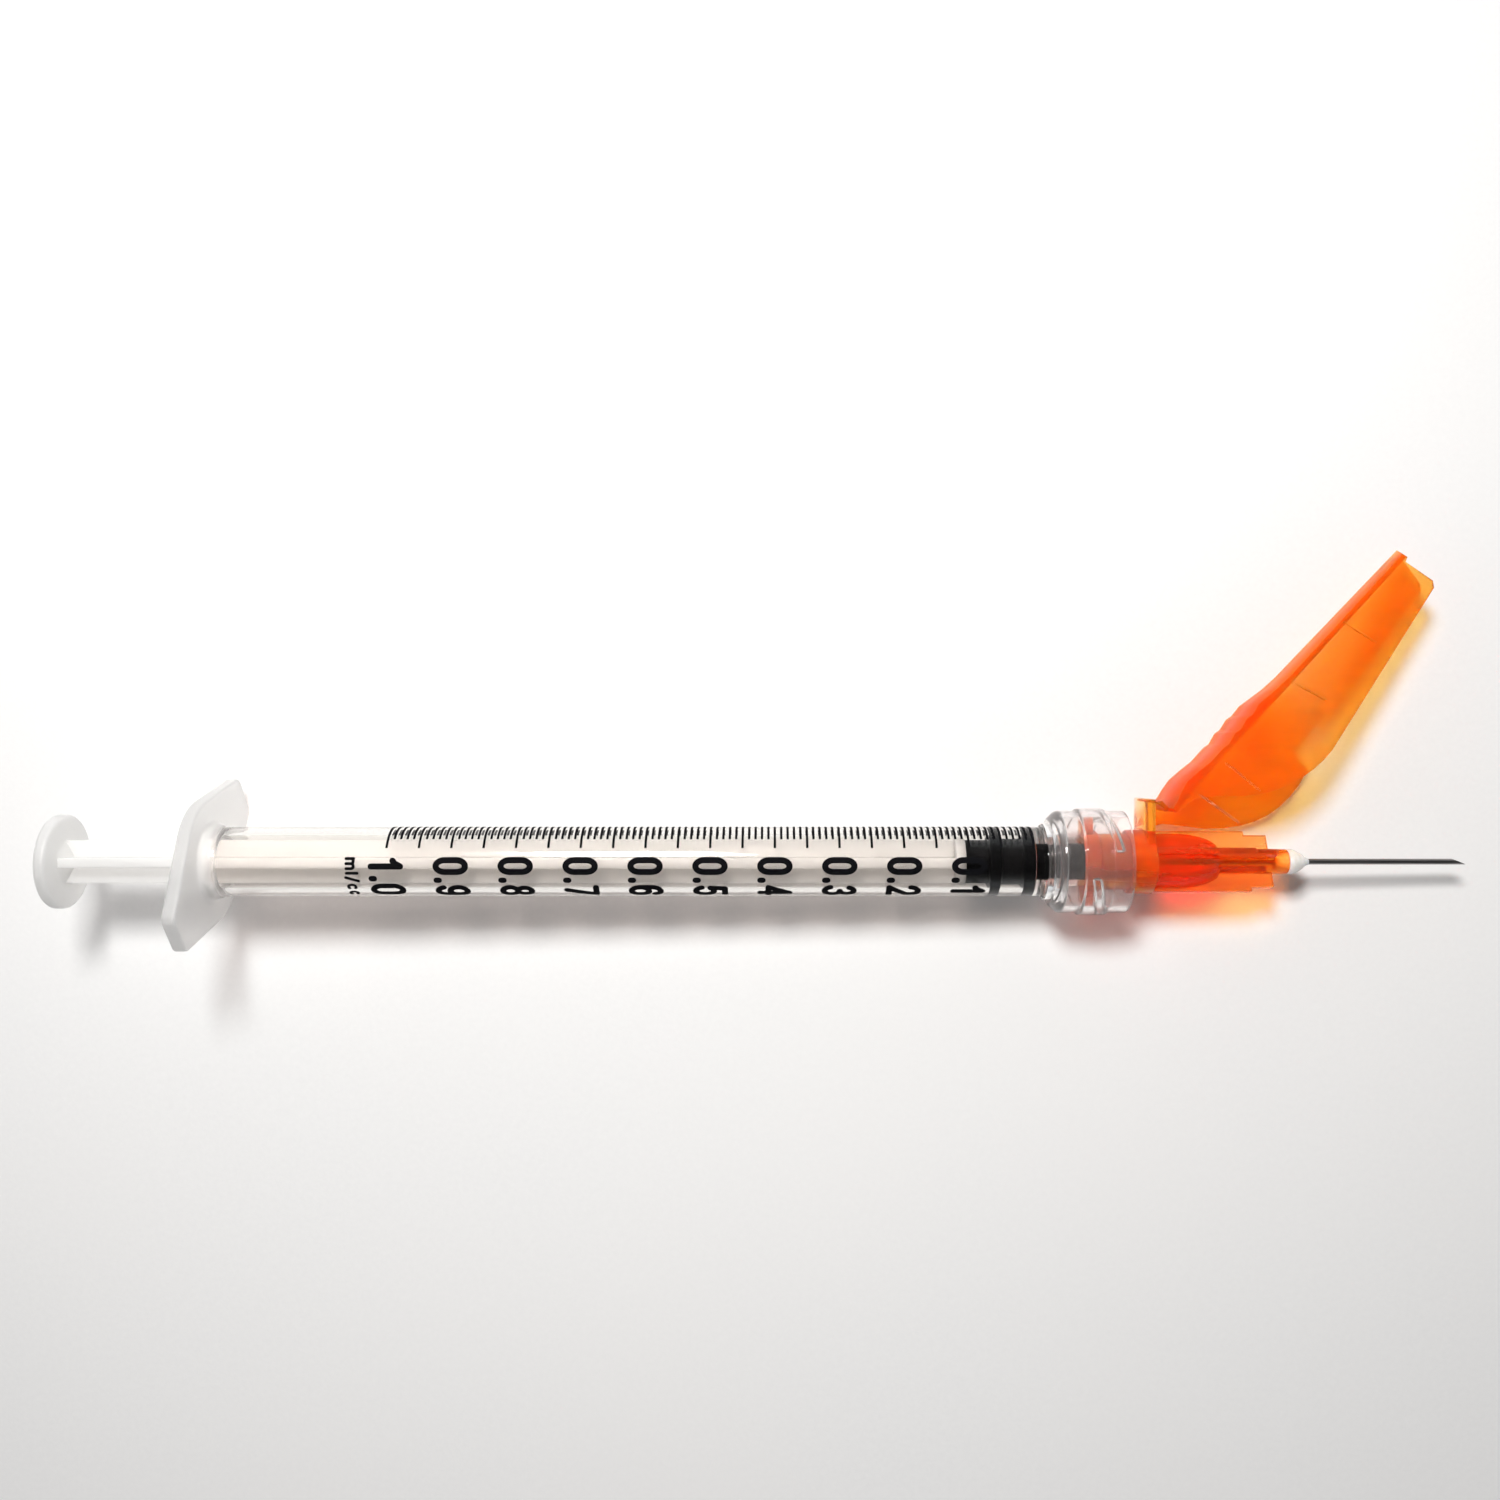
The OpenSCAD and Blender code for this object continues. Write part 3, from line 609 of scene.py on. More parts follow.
end = rounded([
    (COLLAR_FLOOR + 0.1, THREAD_ROOT, 0), (COLLAR_FLOOR, THREAD_ROOT - 0.15, 0.05),
    (COLLAR_FLOOR, nozzle_r(COLLAR_FLOOR) + 0.02, 0.04),
    (COLLAR_FLOOR - 0.08, nozzle_r(COLLAR_FLOOR) + 0.02, 0.03),
    (COLLAR_FLOOR - 0.08, BARREL_R + 0.02, 0.02), (NECK + 0.17, BARREL_R + 0.02, 0.02),
    (NECK + 0.17, BARREL_R + 0.32, 0.02), (NECK - 0.4, BARREL_R + 0.32, 0.02),
    (NECK - 0.4 + 0.31, BARREL_R + 0.02, 0)], closed=False)
collar = skin("luer_collar_clear", outside + inside + end[:-1])
fit_out(collar, CLEAR_COLLAR, "syringe", "clear_collar", "luer_collar")

# %% [markdown]
# ## Plunger and stopper
# The rod is a cross of two ribs between the thumb disc and the stopper. It is cast solid, so its
# parts are joined by a Boolean into one skin before light is let into it. The stopper's ribs are a
# shade larger than the bore, as rubber squeezed into a tube is: they touch the wall optically, and
# so they look as wide as the whole barrel.


# %% Helpers for solid blocks and for joining them
def block(name, low, high, soft=0.05):
    """A box between two corners, in millimetres, with soft edges."""
    work = bmesh.new()
    bmesh.ops.create_cube(work, size=1.0)
    low, high = Vector(low), Vector(high)
    middle, size = (low + high) / 2, high - low
    for vertex in work.verts:
        vertex.co = Vector([middle[i] + vertex.co[i] * size[i] for i in range(3)]) * MM
    bmesh.ops.bevel(work, geom=list(work.edges), offset=soft * MM, segments=3, profile=0.5, affect="EDGES")
    mesh = bpy.data.meshes.new(name)
    work.to_mesh(mesh)
    work.free()
    return finished(name, mesh, smooth=False)


def rolled(thing, degrees):
    """Turns a mesh about the X axis."""
    thing.data.transform(Matrix.Rotation(math.radians(degrees), 4, "X"))
    return thing


def evaluated(thing):
    """Replaces a piece's mesh by what its modifiers make of it."""
    mesh = bpy.data.meshes.new_from_object(thing.evaluated_get(bpy.context.evaluated_depsgraph_get()))
    thing.modifiers.clear()
    thing.data = mesh
    return thing


def joined(thing, others, operation="UNION"):
    """One skin round a piece and the others, or without them."""
    for other in others:
        cut = thing.modifiers.new("join", "BOOLEAN")
        cut.operation = operation
        cut.solver = "EXACT"
        cut.object = other
        evaluated(thing)
        bpy.data.objects.remove(other)
    return thing


def smooth_by_angle(thing, degrees=32):
    """Smooth faces, with edges sharper than the angle kept crisp."""
    work = bmesh.new()
    work.from_mesh(thing.data)
    bmesh.ops.remove_doubles(work, verts=work.verts, dist=1e-7)
    for face in work.faces:
        face.smooth = True
    for edge in work.edges:
        edge.smooth = len(edge.link_faces) == 2 and edge.calc_face_angle(0) < math.radians(degrees)
    work.to_mesh(thing.data)
    work.free()
    return thing


# %% Plunger rod
THUMB_R, THUMB_T = 4.2, 1.0
RIB_R, RIB_T = 1.92, 0.9
THUMB_FRONT = THUMB_REAR + THUMB_T
PUSH_REAR = STOPPER_REAR - 0.9
rod = turned("plunger_rod_milky", [
    (THUMB_REAR + 0.06, 0, 0), (THUMB_REAR + 0.02, THUMB_R * 0.5, 0.8), (THUMB_REAR, THUMB_R, 0.45),
    (THUMB_FRONT, THUMB_R, 0.45), (THUMB_FRONT, RIB_R, 0.3), (THUMB_FRONT + 0.9, 0.45, 0.2),
    (THUMB_FRONT + 1.0, 0, 0)], closed=False)
rib_low, rib_high = (THUMB_FRONT - 0.3, -RIB_R, -RIB_T / 2), (PUSH_REAR + 0.3, RIB_R, RIB_T / 2)
ribs = [rolled(block("rib", rib_low, rib_high, 0.12), angle) for angle in (0, 90)]
push_disc = turned("push_disc", [
    (PUSH_REAR, 0, 0), (PUSH_REAR, RIB_R + 0.15, 0.12), (STOPPER_REAR, RIB_R + 0.15, 0.12),
    (STOPPER_REAR, 0.8, 0.05), (STOPPER_REAR + 1.3, 0.8, 0.05), (STOPPER_REAR + 1.3, 1.25, 0.08),
    (STOPPER_REAR + 2.5, 0.8, 0.2), (ROD_FRONT, 0, 0)], closed=False)
rod = smooth_by_angle(joined(rod, ribs + [push_disc]))
fit_out(rod, MILKY, "plunger", "milky_plastic", "plunger_rod")

# %% Stopper
SQUEEZE = 0.02
SEAL_R, WAIST_R, TAIL_R, NOSE_R = BORE_R + SQUEEZE, 2.05, 1.93, NOZZLE_BORE_R + SQUEEZE
TAIL_X = STOPPER_REAR + 2.0
stopper = turned("stopper_rubber", [
    (STOPPER_REAR + 2.6, 0, 0), (STOPPER_REAR + 2.6, 0.85, 0.05), (STOPPER_REAR + 1.25, 1.28, 0.05),
    (STOPPER_REAR + 1.25, 0.84, 0.05), (STOPPER_REAR, 0.84, 0.05),
    (STOPPER_REAR, TAIL_R, 0.2), (TAIL_X, TAIL_R, 0.06), (TAIL_X + 0.08, SEAL_R, 0.12),
    (TAIL_X + 1.05, SEAL_R, 0.12),
    (TAIL_X + 1.2, WAIST_R, 0.1), (STOPPER_FRONT - 1.2, WAIST_R, 0.1), (STOPPER_FRONT - 1.05, SEAL_R, 0.12),
    (STOPPER_FRONT - 0.02, SEAL_R, 0.1), (STOPPER_FRONT, NOSE_R, 0.1),
    (NOSE_TIP, NOSE_R, 0.4), (NOSE_TIP, 0, 0)], closed=False)
fit_out(stopper, RUBBER, "plunger", "black_rubber", "stopper")

# %% [markdown]
# ## Needle hub, glue and cannula
# The hub's nose is a dome that runs into a slim core tube, with four stepped fins that guide the
# cap. The cannula's bevel is made by letting the tube's last ring lean: its place along the needle
# depends on the direction round it.

# %% Hub
DOME = HUB_FACE + 8.4
DOME_LEN = 3.8
SOCKET_END = NOZZLE_TIP + 0.7
WELL_R = CORE_R - 0.35


def dome_r(t):
    """The nose's radius from the body, at t 0, to the core, at t 1."""
    return CORE_R + (HUB_R - CORE_R) * math.sqrt(max(0.0, 1 - t ** 1.8))


nose = [(DOME + DOME_LEN * t, dome_r(t), 0) for t in np.linspace(0.06, 1, 16)]
hub = turned("needle_hub_orange", [
    (HUB_FACE, nozzle_r(HUB_FACE) + 0.02, 0.08), (HUB_FACE, HUB_R + 0.25, 0.12),
    (HUB_FACE + 1.2, HUB_R + 0.25, 0.08), (HUB_FACE + 1.4, HUB_R, 0.1)] + nose + [
    (HUB_END - 1.6, CORE_R, 0.1), (HUB_END, CORE_R - 0.05, 0.08), (HUB_END, WELL_R, 0.05),
    (HUB_END - 1.2, WELL_R - 0.2, 0.05), (HUB_END - 1.2, NEEDLE_R + 0.02, 0.03),
    (SOCKET_END + 0.9, NEEDLE_R + 0.02, 0.03), (SOCKET_END + 0.6, NEEDLE_R + 0.5, 0.1),
    (SOCKET_END, nozzle_r(NOZZLE_TIP) + 0.02, 0.1)])
FIN_ENDS = (HUB_END - 3.5, HUB_END - 1.5)
FIN_HEIGHTS = (HUB_R + 0.35, HUB_R - 0.05)
FIN_T = 0.55
FIN_ROLL = -25
extras = []
for quarter in range(4):
    for fin_end, height in zip(FIN_ENDS, FIN_HEIGHTS):
        fin = block("fin", (RING_FRONT, CORE_R - 0.3, -FIN_T / 2), (fin_end, height, FIN_T / 2), 0.07)
        extras.append(rolled(fin, 90 * quarter + FIN_ROLL))
LUG_R, LUG_W, LUG_T = 3.88, 2.6, 0.8
for half_turn in (0, 180):
    lug = block("lug", (HUB_FACE, HUB_R - 0.3, -LUG_W / 2), (HUB_FACE + LUG_T, LUG_R - 0.05, LUG_W / 2), 0.15)
    extras.append(rolled(lug, half_turn))
hub = smooth_by_angle(joined(hub, extras))
fit_out(hub, ORANGE_HUB, "needle", "orange_hub", "needle_hub")

# %% Glue bead
bead = turned("adhesive_white", [
    (HUB_END - 1.18, NEEDLE_R + 0.02, 0.02), (HUB_END - 1.18, WELL_R - 0.22, 0.05),
    (HUB_END + 0.02, WELL_R - 0.02, 0.02),
    (HUB_END + 0.02, CORE_R - 0.04, 0.1), (HUB_END + 0.35, CORE_R, 0.3), (HUB_END + 0.8, CORE_R - 0.15, 0.3),
    (HUB_END + 1.35, CORE_R * 0.6, 0.4), (BEAD_TIP - 0.3, NEEDLE_R + 0.12, 0.2),
    (BEAD_TIP, NEEDLE_R + 0.02, 0.03)])
fit_out(bead, ADHESIVE, "draw", "white_adhesive", "adhesive_bead")

# %% Cannula with its leaning bevel
NEEDLE_BORE = 0.13
BEVEL = math.tan(math.radians(22))
lean = lambda r: NEEDLE_TIP - (r * np.sin(AZIMUTH) + NEEDLE_R) / BEVEL
needle = turned("cannula_steel", [
    (NEEDLE_REAR, NEEDLE_BORE, 0.02), (NEEDLE_REAR, NEEDLE_R, 0.02),
    (lean(NEEDLE_R), NEEDLE_R, 0.012), (lean(NEEDLE_BORE), NEEDLE_BORE, 0.012)])
fit_out(needle, STEEL, "needle", "steel", "cannula")

# %% [markdown]
# ## The shield and its ring
# The shield is a folded channel. The CAD solid already has its true outline, and what a moulding has
# besides is soft edges, so a copy of that mesh is merged, its flat faces are made whole again and
# its edges are bevelled. The CAD's walls don't narrow towards the back. These do, but less beside
# the hub, which they would cut into with the shield closed.


# %% Soft-edged copies of flat CAD pieces
def softened(node, name, width, segments=2):
    """A copy of a CAD node's mesh with whole flat faces and edges rounded by width millimetres."""
    mesh = frame["nodes"][node].data.copy()
    mesh.name = name
    mesh.materials.clear()
    work = bmesh.new()
    work.from_mesh(mesh)
    bmesh.ops.remove_doubles(work, verts=work.verts, dist=2e-6)
    bmesh.ops.dissolve_limit(work, angle_limit=math.radians(1), verts=work.verts, edges=work.edges)
    work.to_mesh(mesh)
    work.free()
    thing = bpy.data.objects.new(name, mesh)
    bpy.context.scene.collection.objects.link(thing)
    bevel = thing.modifiers.new("soft edges", "BEVEL")
    bevel.width = width * MM
    bevel.segments = segments
    bevel.limit_method = "ANGLE"
    bevel.angle_limit = math.radians(28)
    bevel.harden_normals = False
    return smooth_by_angle(evaluated(thing))


SHIELD_OPEN = math.radians(46.8)
BACK_V = 0.93
# the channel is parallel up to the hub zone's end, and the drafted walls stay wide until past the hub
HUB_ZONE_U, PAST_HUB_U, NARROW_U = 9.05, 11, 14
OVER_HUB_W, NARROW_W = 2.8, 2.05
SHIELD_LEN = 32.2
SHIELD_HALF_W = -span("shield", 2)[0]
TIP_HALF_W = 1.65
FAR_TRIM, NEAR_TRIM, TRIM_FROM = 0.2, 1.2, 27


def smooth(low, high, value):
    """0 below low, 1 above high and an S between."""
    t = np.clip((value - low) / (high - low), 0, 1)
    return t * t * (3 - 2 * t)


def cad_half(u):
    """Half the CAD channel's width."""
    return np.interp(u, [HUB_ZONE_U, SHIELD_LEN], [SHIELD_HALF_W, TIP_HALF_W])


def half_width(u, v):
    """Half the moulding's width: narrow at its back, wide at its open side, never past the CAD's."""
    back = np.interp(u, [0, 3, PAST_HUB_U, NARROW_U, SHIELD_LEN],
                     [SHIELD_HALF_W, OVER_HUB_W, OVER_HUB_W, NARROW_W, 1.3])
    open_side = np.interp(u, [PAST_HUB_U, 16, SHIELD_LEN], [SHIELD_HALF_W, 2.4, 1.5])
    flare_end = BACK_V + np.interp(u, [PAST_HUB_U, NARROW_U], [1.6, 3.0])
    half = back + (open_side - back) * smooth(BACK_V + 0.2, flare_end, v)
    return np.minimum(half, cad_half(u))


def drafted(thing):
    """Leans the shield's walls, and trims its near side a little shorter than its far side."""
    mesh = thing.data
    points = np.empty(len(mesh.vertices) * 3)
    mesh.vertices.foreach_get("co", points)
    points = points.reshape(-1, 3)
    x, y = points[:, 0] / MM - HINGE_X, points[:, 1] / MM - HINGE_Y
    u = x * math.cos(SHIELD_OPEN) + y * math.sin(SHIELD_OPEN)
    v = x * math.sin(SHIELD_OPEN) - y * math.cos(SHIELD_OPEN)
    across = points[:, 2] / MM / cad_half(u)
    points[:, 2] *= half_width(u, v) / cad_half(u)
    trim = (FAR_TRIM + (NEAR_TRIM - FAR_TRIM) * (across + 1) / 2) * smooth(TRIM_FROM, SHIELD_LEN, u)
    trim *= 1 - smooth(BACK_V + 0.6, BACK_V + 3.6, v)
    points[:, 0] -= trim * math.cos(SHIELD_OPEN) * MM
    points[:, 1] -= trim * math.sin(SHIELD_OPEN) * MM
    mesh.vertices.foreach_set("co", points.ravel())
    mesh.update()
    return thing


shield = smooth_by_angle(drafted(softened("shield", "shield_orange", 0.06)))
print("shield's back is", round(2 * float(half_width(12, BACK_V)), 2), "mm wide, its open side",
      round(2 * SHIELD_HALF_W, 2), "mm")
fit_out(shield, ORANGE_SHIELD, "guard", "orange_shield", "shield")
lock = smooth_by_angle(drafted(softened("needle_lock", "needle_lock_orange", 0.05)))
fit_out(lock, ORANGE_POST, "guard", "orange_shield", "needle_lock")


def cut_off(thing, name, y, keep_above):
    """A closed copy of a piece with only what lies above, or below, a height y."""
    work = bmesh.new()
    work.from_mesh(thing.data)
    whole = work.verts[:] + work.edges[:] + work.faces[:]
    cut = bmesh.ops.bisect_plane(work, geom=whole, plane_co=(0, y * MM, 0),
                                 plane_no=(0, 1, 0), clear_outer=not keep_above, clear_inner=keep_above)
    bmesh.ops.holes_fill(work, edges=[e for e in cut["geom_cut"] if isinstance(e, bmesh.types.BMEdge)])
    mesh = bpy.data.meshes.new(name)
    work.to_mesh(mesh)
    work.free()
    return smooth_by_angle(finished(name, mesh))


# the ring takes the hub's colour behind it, and the post above it is thin and pale
POST_FOOT = -span("shield_ring", 1)[0] + 0.02
whole_ring = softened("shield_ring", "whole_ring", 0.06)
ring = cut_off(whole_ring, "shield_ring_orange", POST_FOOT, False)
post = cut_off(whole_ring, "shield_post_orange", POST_FOOT + 0.01, True)
bpy.data.objects.remove(whole_ring)
fit_out(ring, ORANGE_HUB, "needle", "orange_shield", "shield_ring")
fit_out(post, ORANGE_POST, "needle", "orange_shield")

# %% Creases in the shield's near wall
# the root crease runs up to 2.4 mm clear of the wall, which is a fault still to mend
CREASE_W = 0.22
CREASES = {
    "weld": ((6.3, 1.2), (6.6, 5.5), 0.06, ORANGE_POST),
    "root": ((2.7, 1.5), (3.3, 6.0), 0.16, ORANGE_HUB),
    "middle": ((15.8, 1.2), (16.6, 4.6), 0.14, ORANGE_SHIELD),
    "front": ((22.9, 1.1), (23.4, 4.4), 0.14, ORANGE_SHIELD)}


def crease(name, start, end, height):
    """A ridge of some height on the near wall, between two places (u, v)."""
    count = 30
    way = (Vector(end) - Vector(start)).normalized()
    side = Vector((-way.y, way.x)) * CREASE_W / 2
    places = []
    for t in np.linspace(0, 1, count):
        middle = Vector(start).lerp(Vector(end), t)
        for offset, lift in ((side, -0.02), (Vector((0, 0)), height), (-side, -0.02)):
            u, v = middle + offset
            x = HINGE_X + u * math.cos(SHIELD_OPEN) + v * math.sin(SHIELD_OPEN)
            y = HINGE_Y + u * math.sin(SHIELD_OPEN) - v * math.cos(SHIELD_OPEN)
            places.append((x * MM, y * MM, (float(half_width(u, v)) + lift) * MM))
    faces = [(3 * i + k, 3 * i + (k + 1) % 3, 3 * i + 3 + (k + 1) % 3, 3 * i + 3 + k)
             for i in range(count - 1) for k in range(3)]
    faces += [(0, 1, 2), (3 * count - 1, 3 * count - 2, 3 * count - 3)]
    mesh = bpy.data.meshes.new(name)
    mesh.from_pydata(places, [], faces)
    return finished(name, mesh)


for place, (start, end, height, finish) in CREASES.items():
    fit_out(crease("crease_" + place, start, end, height), finish, "guard", "orange_shield")

# %% [markdown]
# ## The living hinge
# A film as thin as card joins the ring's post to the shield.

# %% Hinge film
FILM_T, FILM_HALF_W = 0.16, 2.0
POST_FRONT = RING_FRONT - 0.1
film_path = [Vector((POST_FRONT - 0.1, HINGE_Y)), Vector((HINGE_X + 0.05, HINGE_Y + 0.02)),
             Vector((HINGE_X + 0.62, HINGE_Y - 0.5))]
work = bmesh.new()
steps = 12
loops = []
for i in range(steps + 1):
    t = i / steps
    at = film_path[0] * (1 - t) ** 2 + film_path[1] * 2 * t * (1 - t) + film_path[2] * t ** 2
    along = (film_path[1] - film_path[0]) * (1 - t) + (film_path[2] - film_path[1]) * t
    side = Vector((-along.y, along.x)).normalized() * FILM_T / 2
    corners = [(at + side, -FILM_HALF_W), (at + side, FILM_HALF_W),
               (at - side, FILM_HALF_W), (at - side, -FILM_HALF_W)]
    loops.append([work.verts.new(Vector((p.x, p.y, z)) * MM) for p, z in corners])
for a, b in zip(loops, loops[1:]):
    for k in range(4):
        work.faces.new((a[k], a[(k + 1) % 4], b[(k + 1) % 4], b[k]))
work.faces.new(loops[0])
work.faces.new(loops[-1][::-1])
film_mesh = bpy.data.meshes.new("hinge_film")
work.to_mesh(film_mesh)
work.free()
film = smooth_by_angle(finished("hinge_film", film_mesh), 50)
film.data.materials.append(ORANGE_SHIELD)
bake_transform(film)
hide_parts("living_hinge")

# %% [markdown]
# ## The printed scale
# A hundred and one strokes, every fifth one long, pressed round the barrel: this is what Geometry
# Nodes are for. A line of points carries two kinds of stroke, each a short arc swept into a thin
# bar of ink, and every fifth point takes the long one.


# %% Strokes by Geometry Nodes
def scale_strokes():
    """A node tree that rings a barrel with graduation strokes."""
    tree = bpy.data.node_groups.new("scale_strokes", "GeometryNodeTree")
    face = tree.interface
    face.new_socket("Geometry", in_out="OUTPUT", socket_type="NodeSocketGeometry")
    names = {"Strokes": "NodeSocketInt", "Pitch": "NodeSocketFloat", "Radius": "NodeSocketFloat",
             "Line width": "NodeSocketFloat", "Ink height": "NodeSocketFloat", "Start": "NodeSocketFloat",
             "Long sweep": "NodeSocketFloat", "Short sweep": "NodeSocketFloat", "Top": "NodeSocketFloat",
             "Ink": "NodeSocketMaterial"}
    for name, kind in names.items():
        face.new_socket(name, in_out="INPUT", socket_type=kind)
    inputs = tree.nodes.new("NodeGroupInput")
    output = tree.nodes.new("NodeGroupOutput")

    def add(kind, settings=None, sockets=None):
        node = tree.nodes.new(kind)
        for key, value in (settings or {}).items():
            setattr(node, key, value)
        for key, value in (sockets or {}).items():
            if isinstance(value, bpy.types.NodeSocket):
                tree.links.new(value, node.inputs[key])
            else:
                node.inputs[key].default_value = value
        return node

    def stroke(sweep):
        arc = add("GeometryNodeCurveArc", {"mode": "RADIUS"}, {
            "Resolution": 28, "Radius": inputs.outputs["Radius"], "Start Angle": inputs.outputs["Top"],
            "Sweep Angle": sweep})
        stand = add("GeometryNodeTransform", {}, {"Geometry": arc.outputs[0],
                                                  "Rotation": (math.pi / 2, 0, math.pi / 2)})
        section = add("GeometryNodeCurvePrimitiveQuadrilateral", {}, {
            "Width": inputs.outputs["Line width"], "Height": inputs.outputs["Ink height"]})
        swept = add("GeometryNodeCurveToMesh", {}, {"Curve": stand.outputs[0],
                                                    "Profile Curve": section.outputs[0], "Fill Caps": True})
        return swept.outputs[0]

    start = add("ShaderNodeCombineXYZ", {}, {"X": inputs.outputs["Start"]})
    pitch = add("ShaderNodeCombineXYZ", {}, {"X": inputs.outputs["Pitch"]})
    line = add("GeometryNodeMeshLine", {}, {"Count": inputs.outputs["Strokes"],
                                            "Start Location": start.outputs[0], "Offset": pitch.outputs[0]})
    index = add("GeometryNodeInputIndex")
    fifth = add("FunctionNodeIntegerMath", {"operation": "MODULO"}, {0: index.outputs[0], 1: 5})
    is_long = add("FunctionNodeCompare", {"data_type": "INT", "operation": "EQUAL"},
                  {2: fifth.outputs[0], 3: 0})
    is_short = add("FunctionNodeBooleanMath", {"operation": "NOT"}, {0: is_long.outputs[0]})
    sets = [add("GeometryNodeInstanceOnPoints", {}, {"Points": line.outputs[0], "Selection": chosen,
                                                     "Instance": stroke(inputs.outputs[sweep])})
            for chosen, sweep in ((is_long.outputs[0], "Long sweep"), (is_short.outputs[0], "Short sweep"))]
    both = add("GeometryNodeJoinGeometry")
    for one in sets:
        tree.links.new(one.outputs[0], both.inputs[0])
    real = add("GeometryNodeRealizeInstances", {}, {0: both.outputs[0]})
    inked = add("GeometryNodeSetMaterial", {},
                {"Geometry": real.outputs[0], "Material": inputs.outputs["Ink"]})
    tree.links.new(inked.outputs[0], output.inputs[0])
    return tree


INK_H = 0.03
LONG_FROM, SHORT_FROM, STROKES_TO = 27, 44, 99
strokes = bpy.data.objects.new("scale_strokes", bpy.data.meshes.new("scale_strokes"))
bpy.context.scene.collection.objects.link(strokes)
maker = strokes.modifiers.new("scale", "NODES")
maker.node_group = scale_strokes()
settings = {"Strokes": 101, "Pitch": SCALE_LEN / 100 * MM, "Radius": (BARREL_R + INK_H / 2) * MM,
            "Line width": 0.21 * MM, "Ink height": INK_H * MM, "Start": -SCALE_LEN * MM,
            "Long sweep": math.radians(STROKES_TO - LONG_FROM),
            "Short sweep": math.radians(STROKES_TO - SHORT_FROM),
            "Top": math.radians(90 - STROKES_TO), "Ink": INK}
for socket in maker.node_group.interface.items_tree:
    if socket.name in settings:
        maker[socket.identifier] = settings[socket.name]
evaluated(strokes)
strokes = smooth_by_angle(strokes, 40)
fit_out(strokes, INK, "syringe", "clear_barrel")

# %% [markdown]
# ## The printed numbers
# The numbers read down the barrel, with their heads towards the needle. A font's outline made bold
# crosses itself, so each character is drawn the way a sign writer does, as a few pen strokes. A fine
# grid keeps the cells that lie within half a pen's width of a stroke, its edge points slide onto
# the exact edge, and the sheet is rolled round the tube.


# %% Characters as pen strokes, in a box one wide and one high
def arc(x, y, rx, ry, start, stop):
    """Points on an ellipse's arc, in degrees."""
    return [(x + rx * math.cos(math.radians(a)), y + ry * math.sin(math.radians(a)))
            for a in np.linspace(start, stop, 17)]


BOWL = arc(0.5, 0.3, 0.5, 0.3, 0, 360)
STROKES = {
    "0": [arc(0.5, 0.7, 0.5, 0.3, 0, 180) + arc(0.5, 0.3, 0.5, 0.3, 180, 360) + [(1, 0.7)]],
    "1": [[(0.05, 0.74), (0.3, 0.8), (0.62, 1), (0.62, 0)]],
    "2": [arc(0.5, 0.7, 0.48, 0.3, 170, -25) + [(0.02, 0), (1, 0)]],
    "3": [arc(0.48, 0.76, 0.44, 0.24, 160, -90), arc(0.48, 0.26, 0.5, 0.26, 90, -165)],
    "4": [[(0.75, 0), (0.75, 1), (0, 0.28), (1.05, 0.28)]],
    "5": [[(0.94, 1), (0.16, 1), (0.08, 0.5)] + arc(0.5, 0.31, 0.48, 0.31, 140, -160)],
    "6": [BOWL, arc(0.5, 0.7, 0.5, 0.3, 20, 180) + [(0, 0.3)]],
    "7": [[(0, 1), (1, 1), (0.36, 0)]],
    "8": [arc(0.5, 0.76, 0.43, 0.24, 0, 360), arc(0.5, 0.26, 0.5, 0.26, 0, 360)],
    "9": [[(1 - x, 1 - y) for x, y in BOWL], arc(0.5, 0.3, 0.5, 0.3, 200, 360) + [(1, 0.7)]],
    ".": [[(0, 0), (0, 0.08)]],
    "m": [[(0, 0), (0, 0.7)], arc(0.25, 0.45, 0.25, 0.22, 180, 0) + [(0.5, 0)],
          arc(0.75, 0.45, 0.25, 0.22, 180, 0) + [(1, 0)]],
    "l": [[(0, 0), (0, 1)]],
    "/": [[(0, -0.1), (1, 1.05)]],
    "c": [arc(0.5, 0.35, 0.48, 0.35, 50, 310)],
}
WIDE = {".": 0.02, "1": 0.9, "l": 0.02, "/": 0.8, "m": 1.5}
print("pen strokes for", " ".join(STROKES))


# %% Ink on the barrel
def nearest(points, strokes):
    """For each point, the closest place on any stroke."""
    best, reach = points.copy(), np.full(len(points), np.inf)
    for line in strokes:
        for a, b in zip(line, line[1:]):
            a, b = np.array(a, float), np.array(b, float)
            t = np.clip((points - a) @ (b - a) / max((b - a) @ (b - a), 1e-9), 0, 1)
            place = a + t[:, None] * (b - a)
            d = np.linalg.norm(points - place, axis=1)
            closer = d < reach
            best[closer], reach[closer] = place[closer], d[closer]
    return best, reach


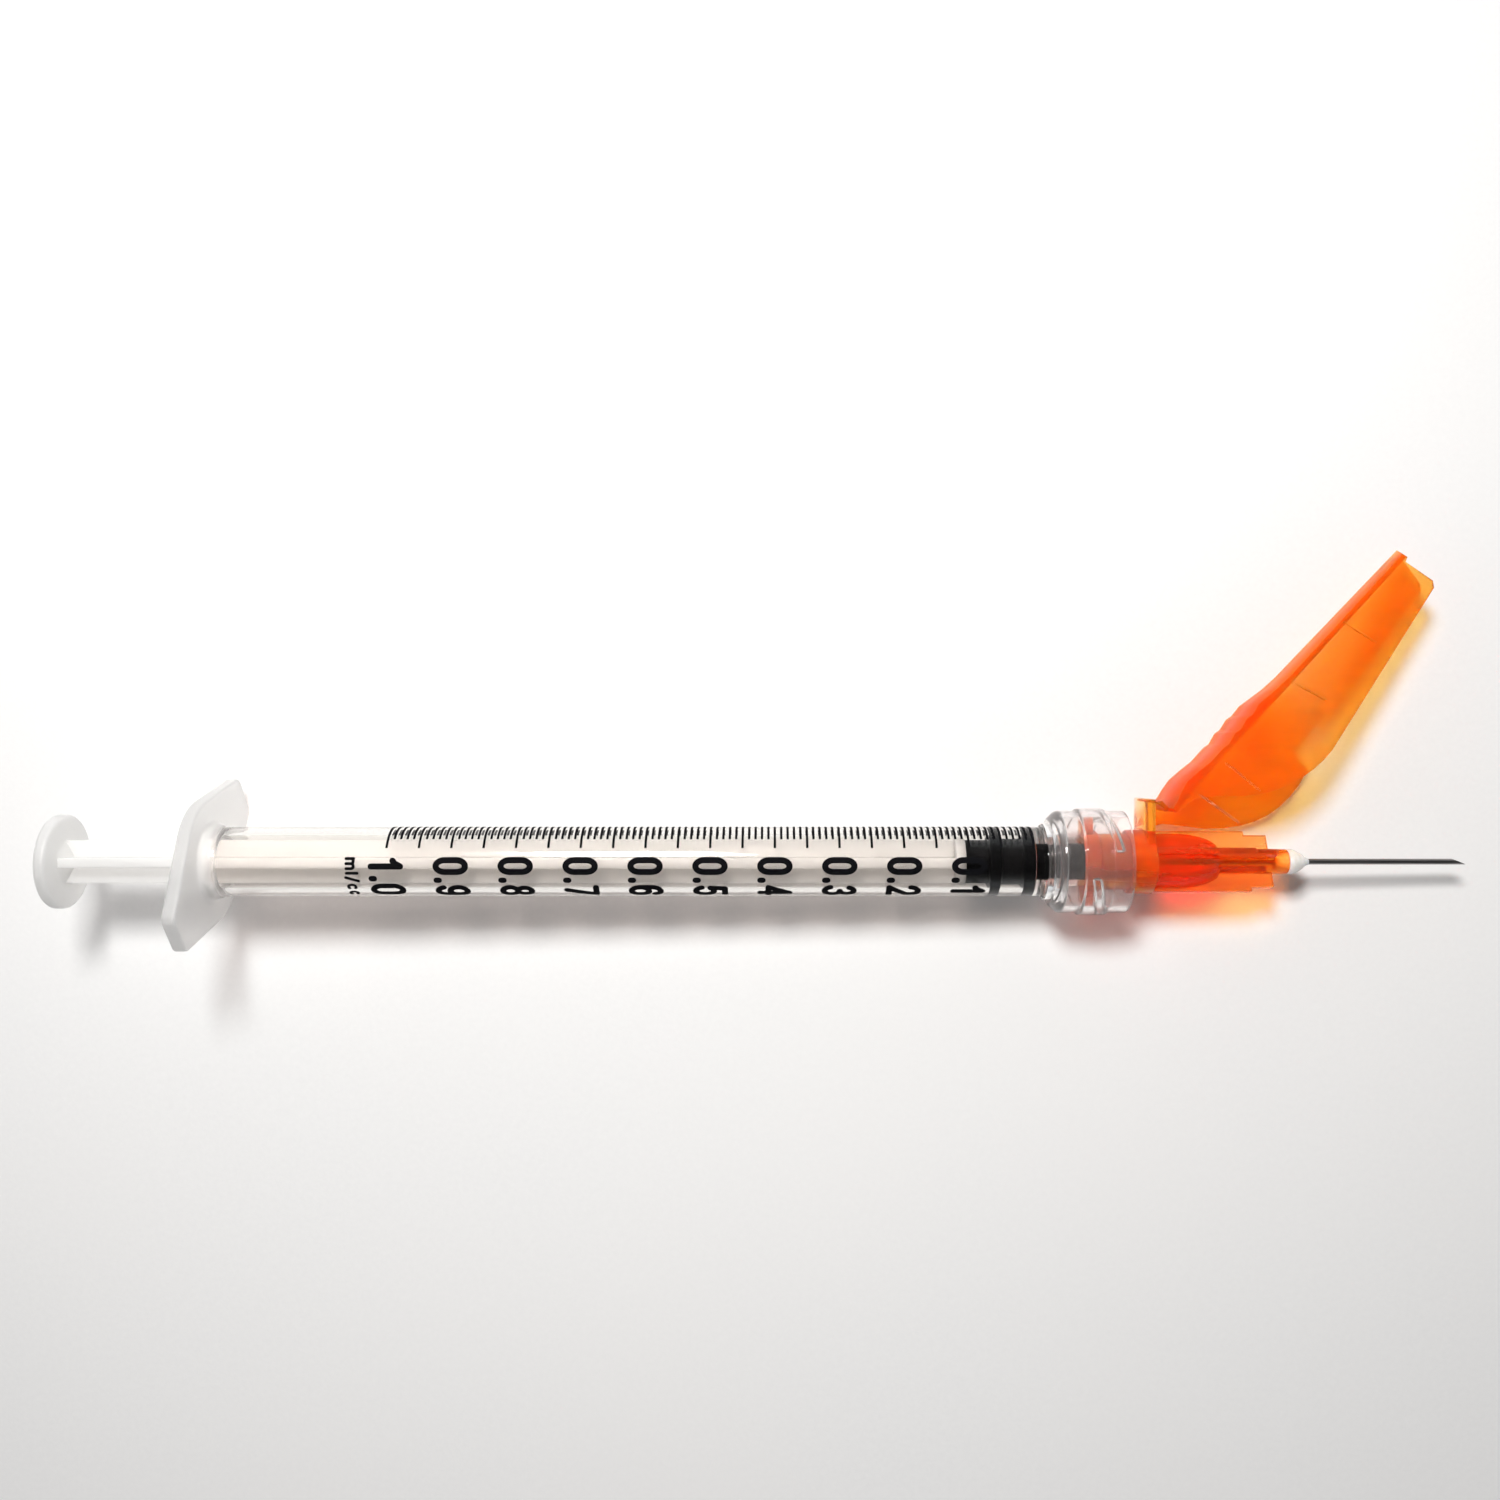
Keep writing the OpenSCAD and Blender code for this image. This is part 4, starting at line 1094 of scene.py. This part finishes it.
def inked_words(name, words, x, height, width, pen, gap, start):
    """Words on the barrel: heads towards +X, written from azimuth start towards -Y."""
    work = bmesh.new()
    cursor = 0.0
    cell = pen / 7
    for letter in words:
        w = max(width * WIDE.get(letter, 1.0), pen)
        size = np.array([w - pen, height - pen]).clip(0.02)
        strokes = [[(px * size[0] + pen / 2, py * size[1] + pen / 2) for px, py in line]
                   for line in STROKES[letter]]
        xs = np.arange(-cell * 2, w + cell * 3, cell)
        ys = np.arange(-height * 0.15, height * 1.15, cell)
        corners = np.stack(np.meshgrid(xs, ys, indexing="ij"), -1).reshape(-1, 2)
        middles = (np.stack(np.meshgrid(xs[:-1], ys[:-1], indexing="ij"), -1) + cell / 2).reshape(-1, 2)
        inside = (nearest(middles, strokes)[1] < pen / 2).reshape(len(xs) - 1, len(ys) - 1)
        place, reach = nearest(corners, strokes)
        ring = np.pad(inside, 1)
        full = ring[:-1, :-1] & ring[1:, :-1] & ring[:-1, 1:] & ring[1:, 1:]
        edge = ~full.reshape(-1)
        pull = np.where(reach > 1e-6, pen / 2 / np.maximum(reach, 1e-6), 1.0)
        corners[edge] = (place + (corners - place) * pull[:, None])[edge]
        made = {}
        for i, j in zip(*np.nonzero(inside)):
            quad = []
            for k in ((i, j), (i + 1, j), (i + 1, j + 1), (i, j + 1)):
                if k not in made:
                    made[k] = work.verts.new((*(corners[k[0] * len(ys) + k[1]] + (cursor, 0)), 0))
                quad.append(made[k])
            work.faces.new(quad)
        cursor += w + gap
    raised = bmesh.ops.extrude_face_region(work, geom=work.faces[:])["geom"]
    lifted = {v for v in raised if isinstance(v, bmesh.types.BMVert)}
    for v in work.verts:
        angle = math.radians(start) - v.co.x / BARREL_R
        r = BARREL_R + (INK_H if v in lifted else 0.002)
        v.co = Vector((x + v.co.y - height / 2, r * math.sin(angle), r * math.cos(angle))) * MM
    mesh = bpy.data.meshes.new(name)
    work.to_mesh(mesh)
    work.free()
    return smooth_by_angle(finished(name, mesh), 40)


for tenth in range(1, 11):
    words, place = f"{tenth / 10:.1f}", -tenth / 10 * SCALE_LEN
    number = inked_words(f"number_{tenth:02d}", words, place, 3.1, 1.58, 0.54, 0.25, 12)
    fit_out(number, INK, "syringe", "clear_barrel")
unit = inked_words("unit", "ml/cc", -SCALE_LEN - 2.97, 1.2, 0.76, 0.26, 0.15, 12)
fit_out(unit, INK, "syringe", "clear_barrel")
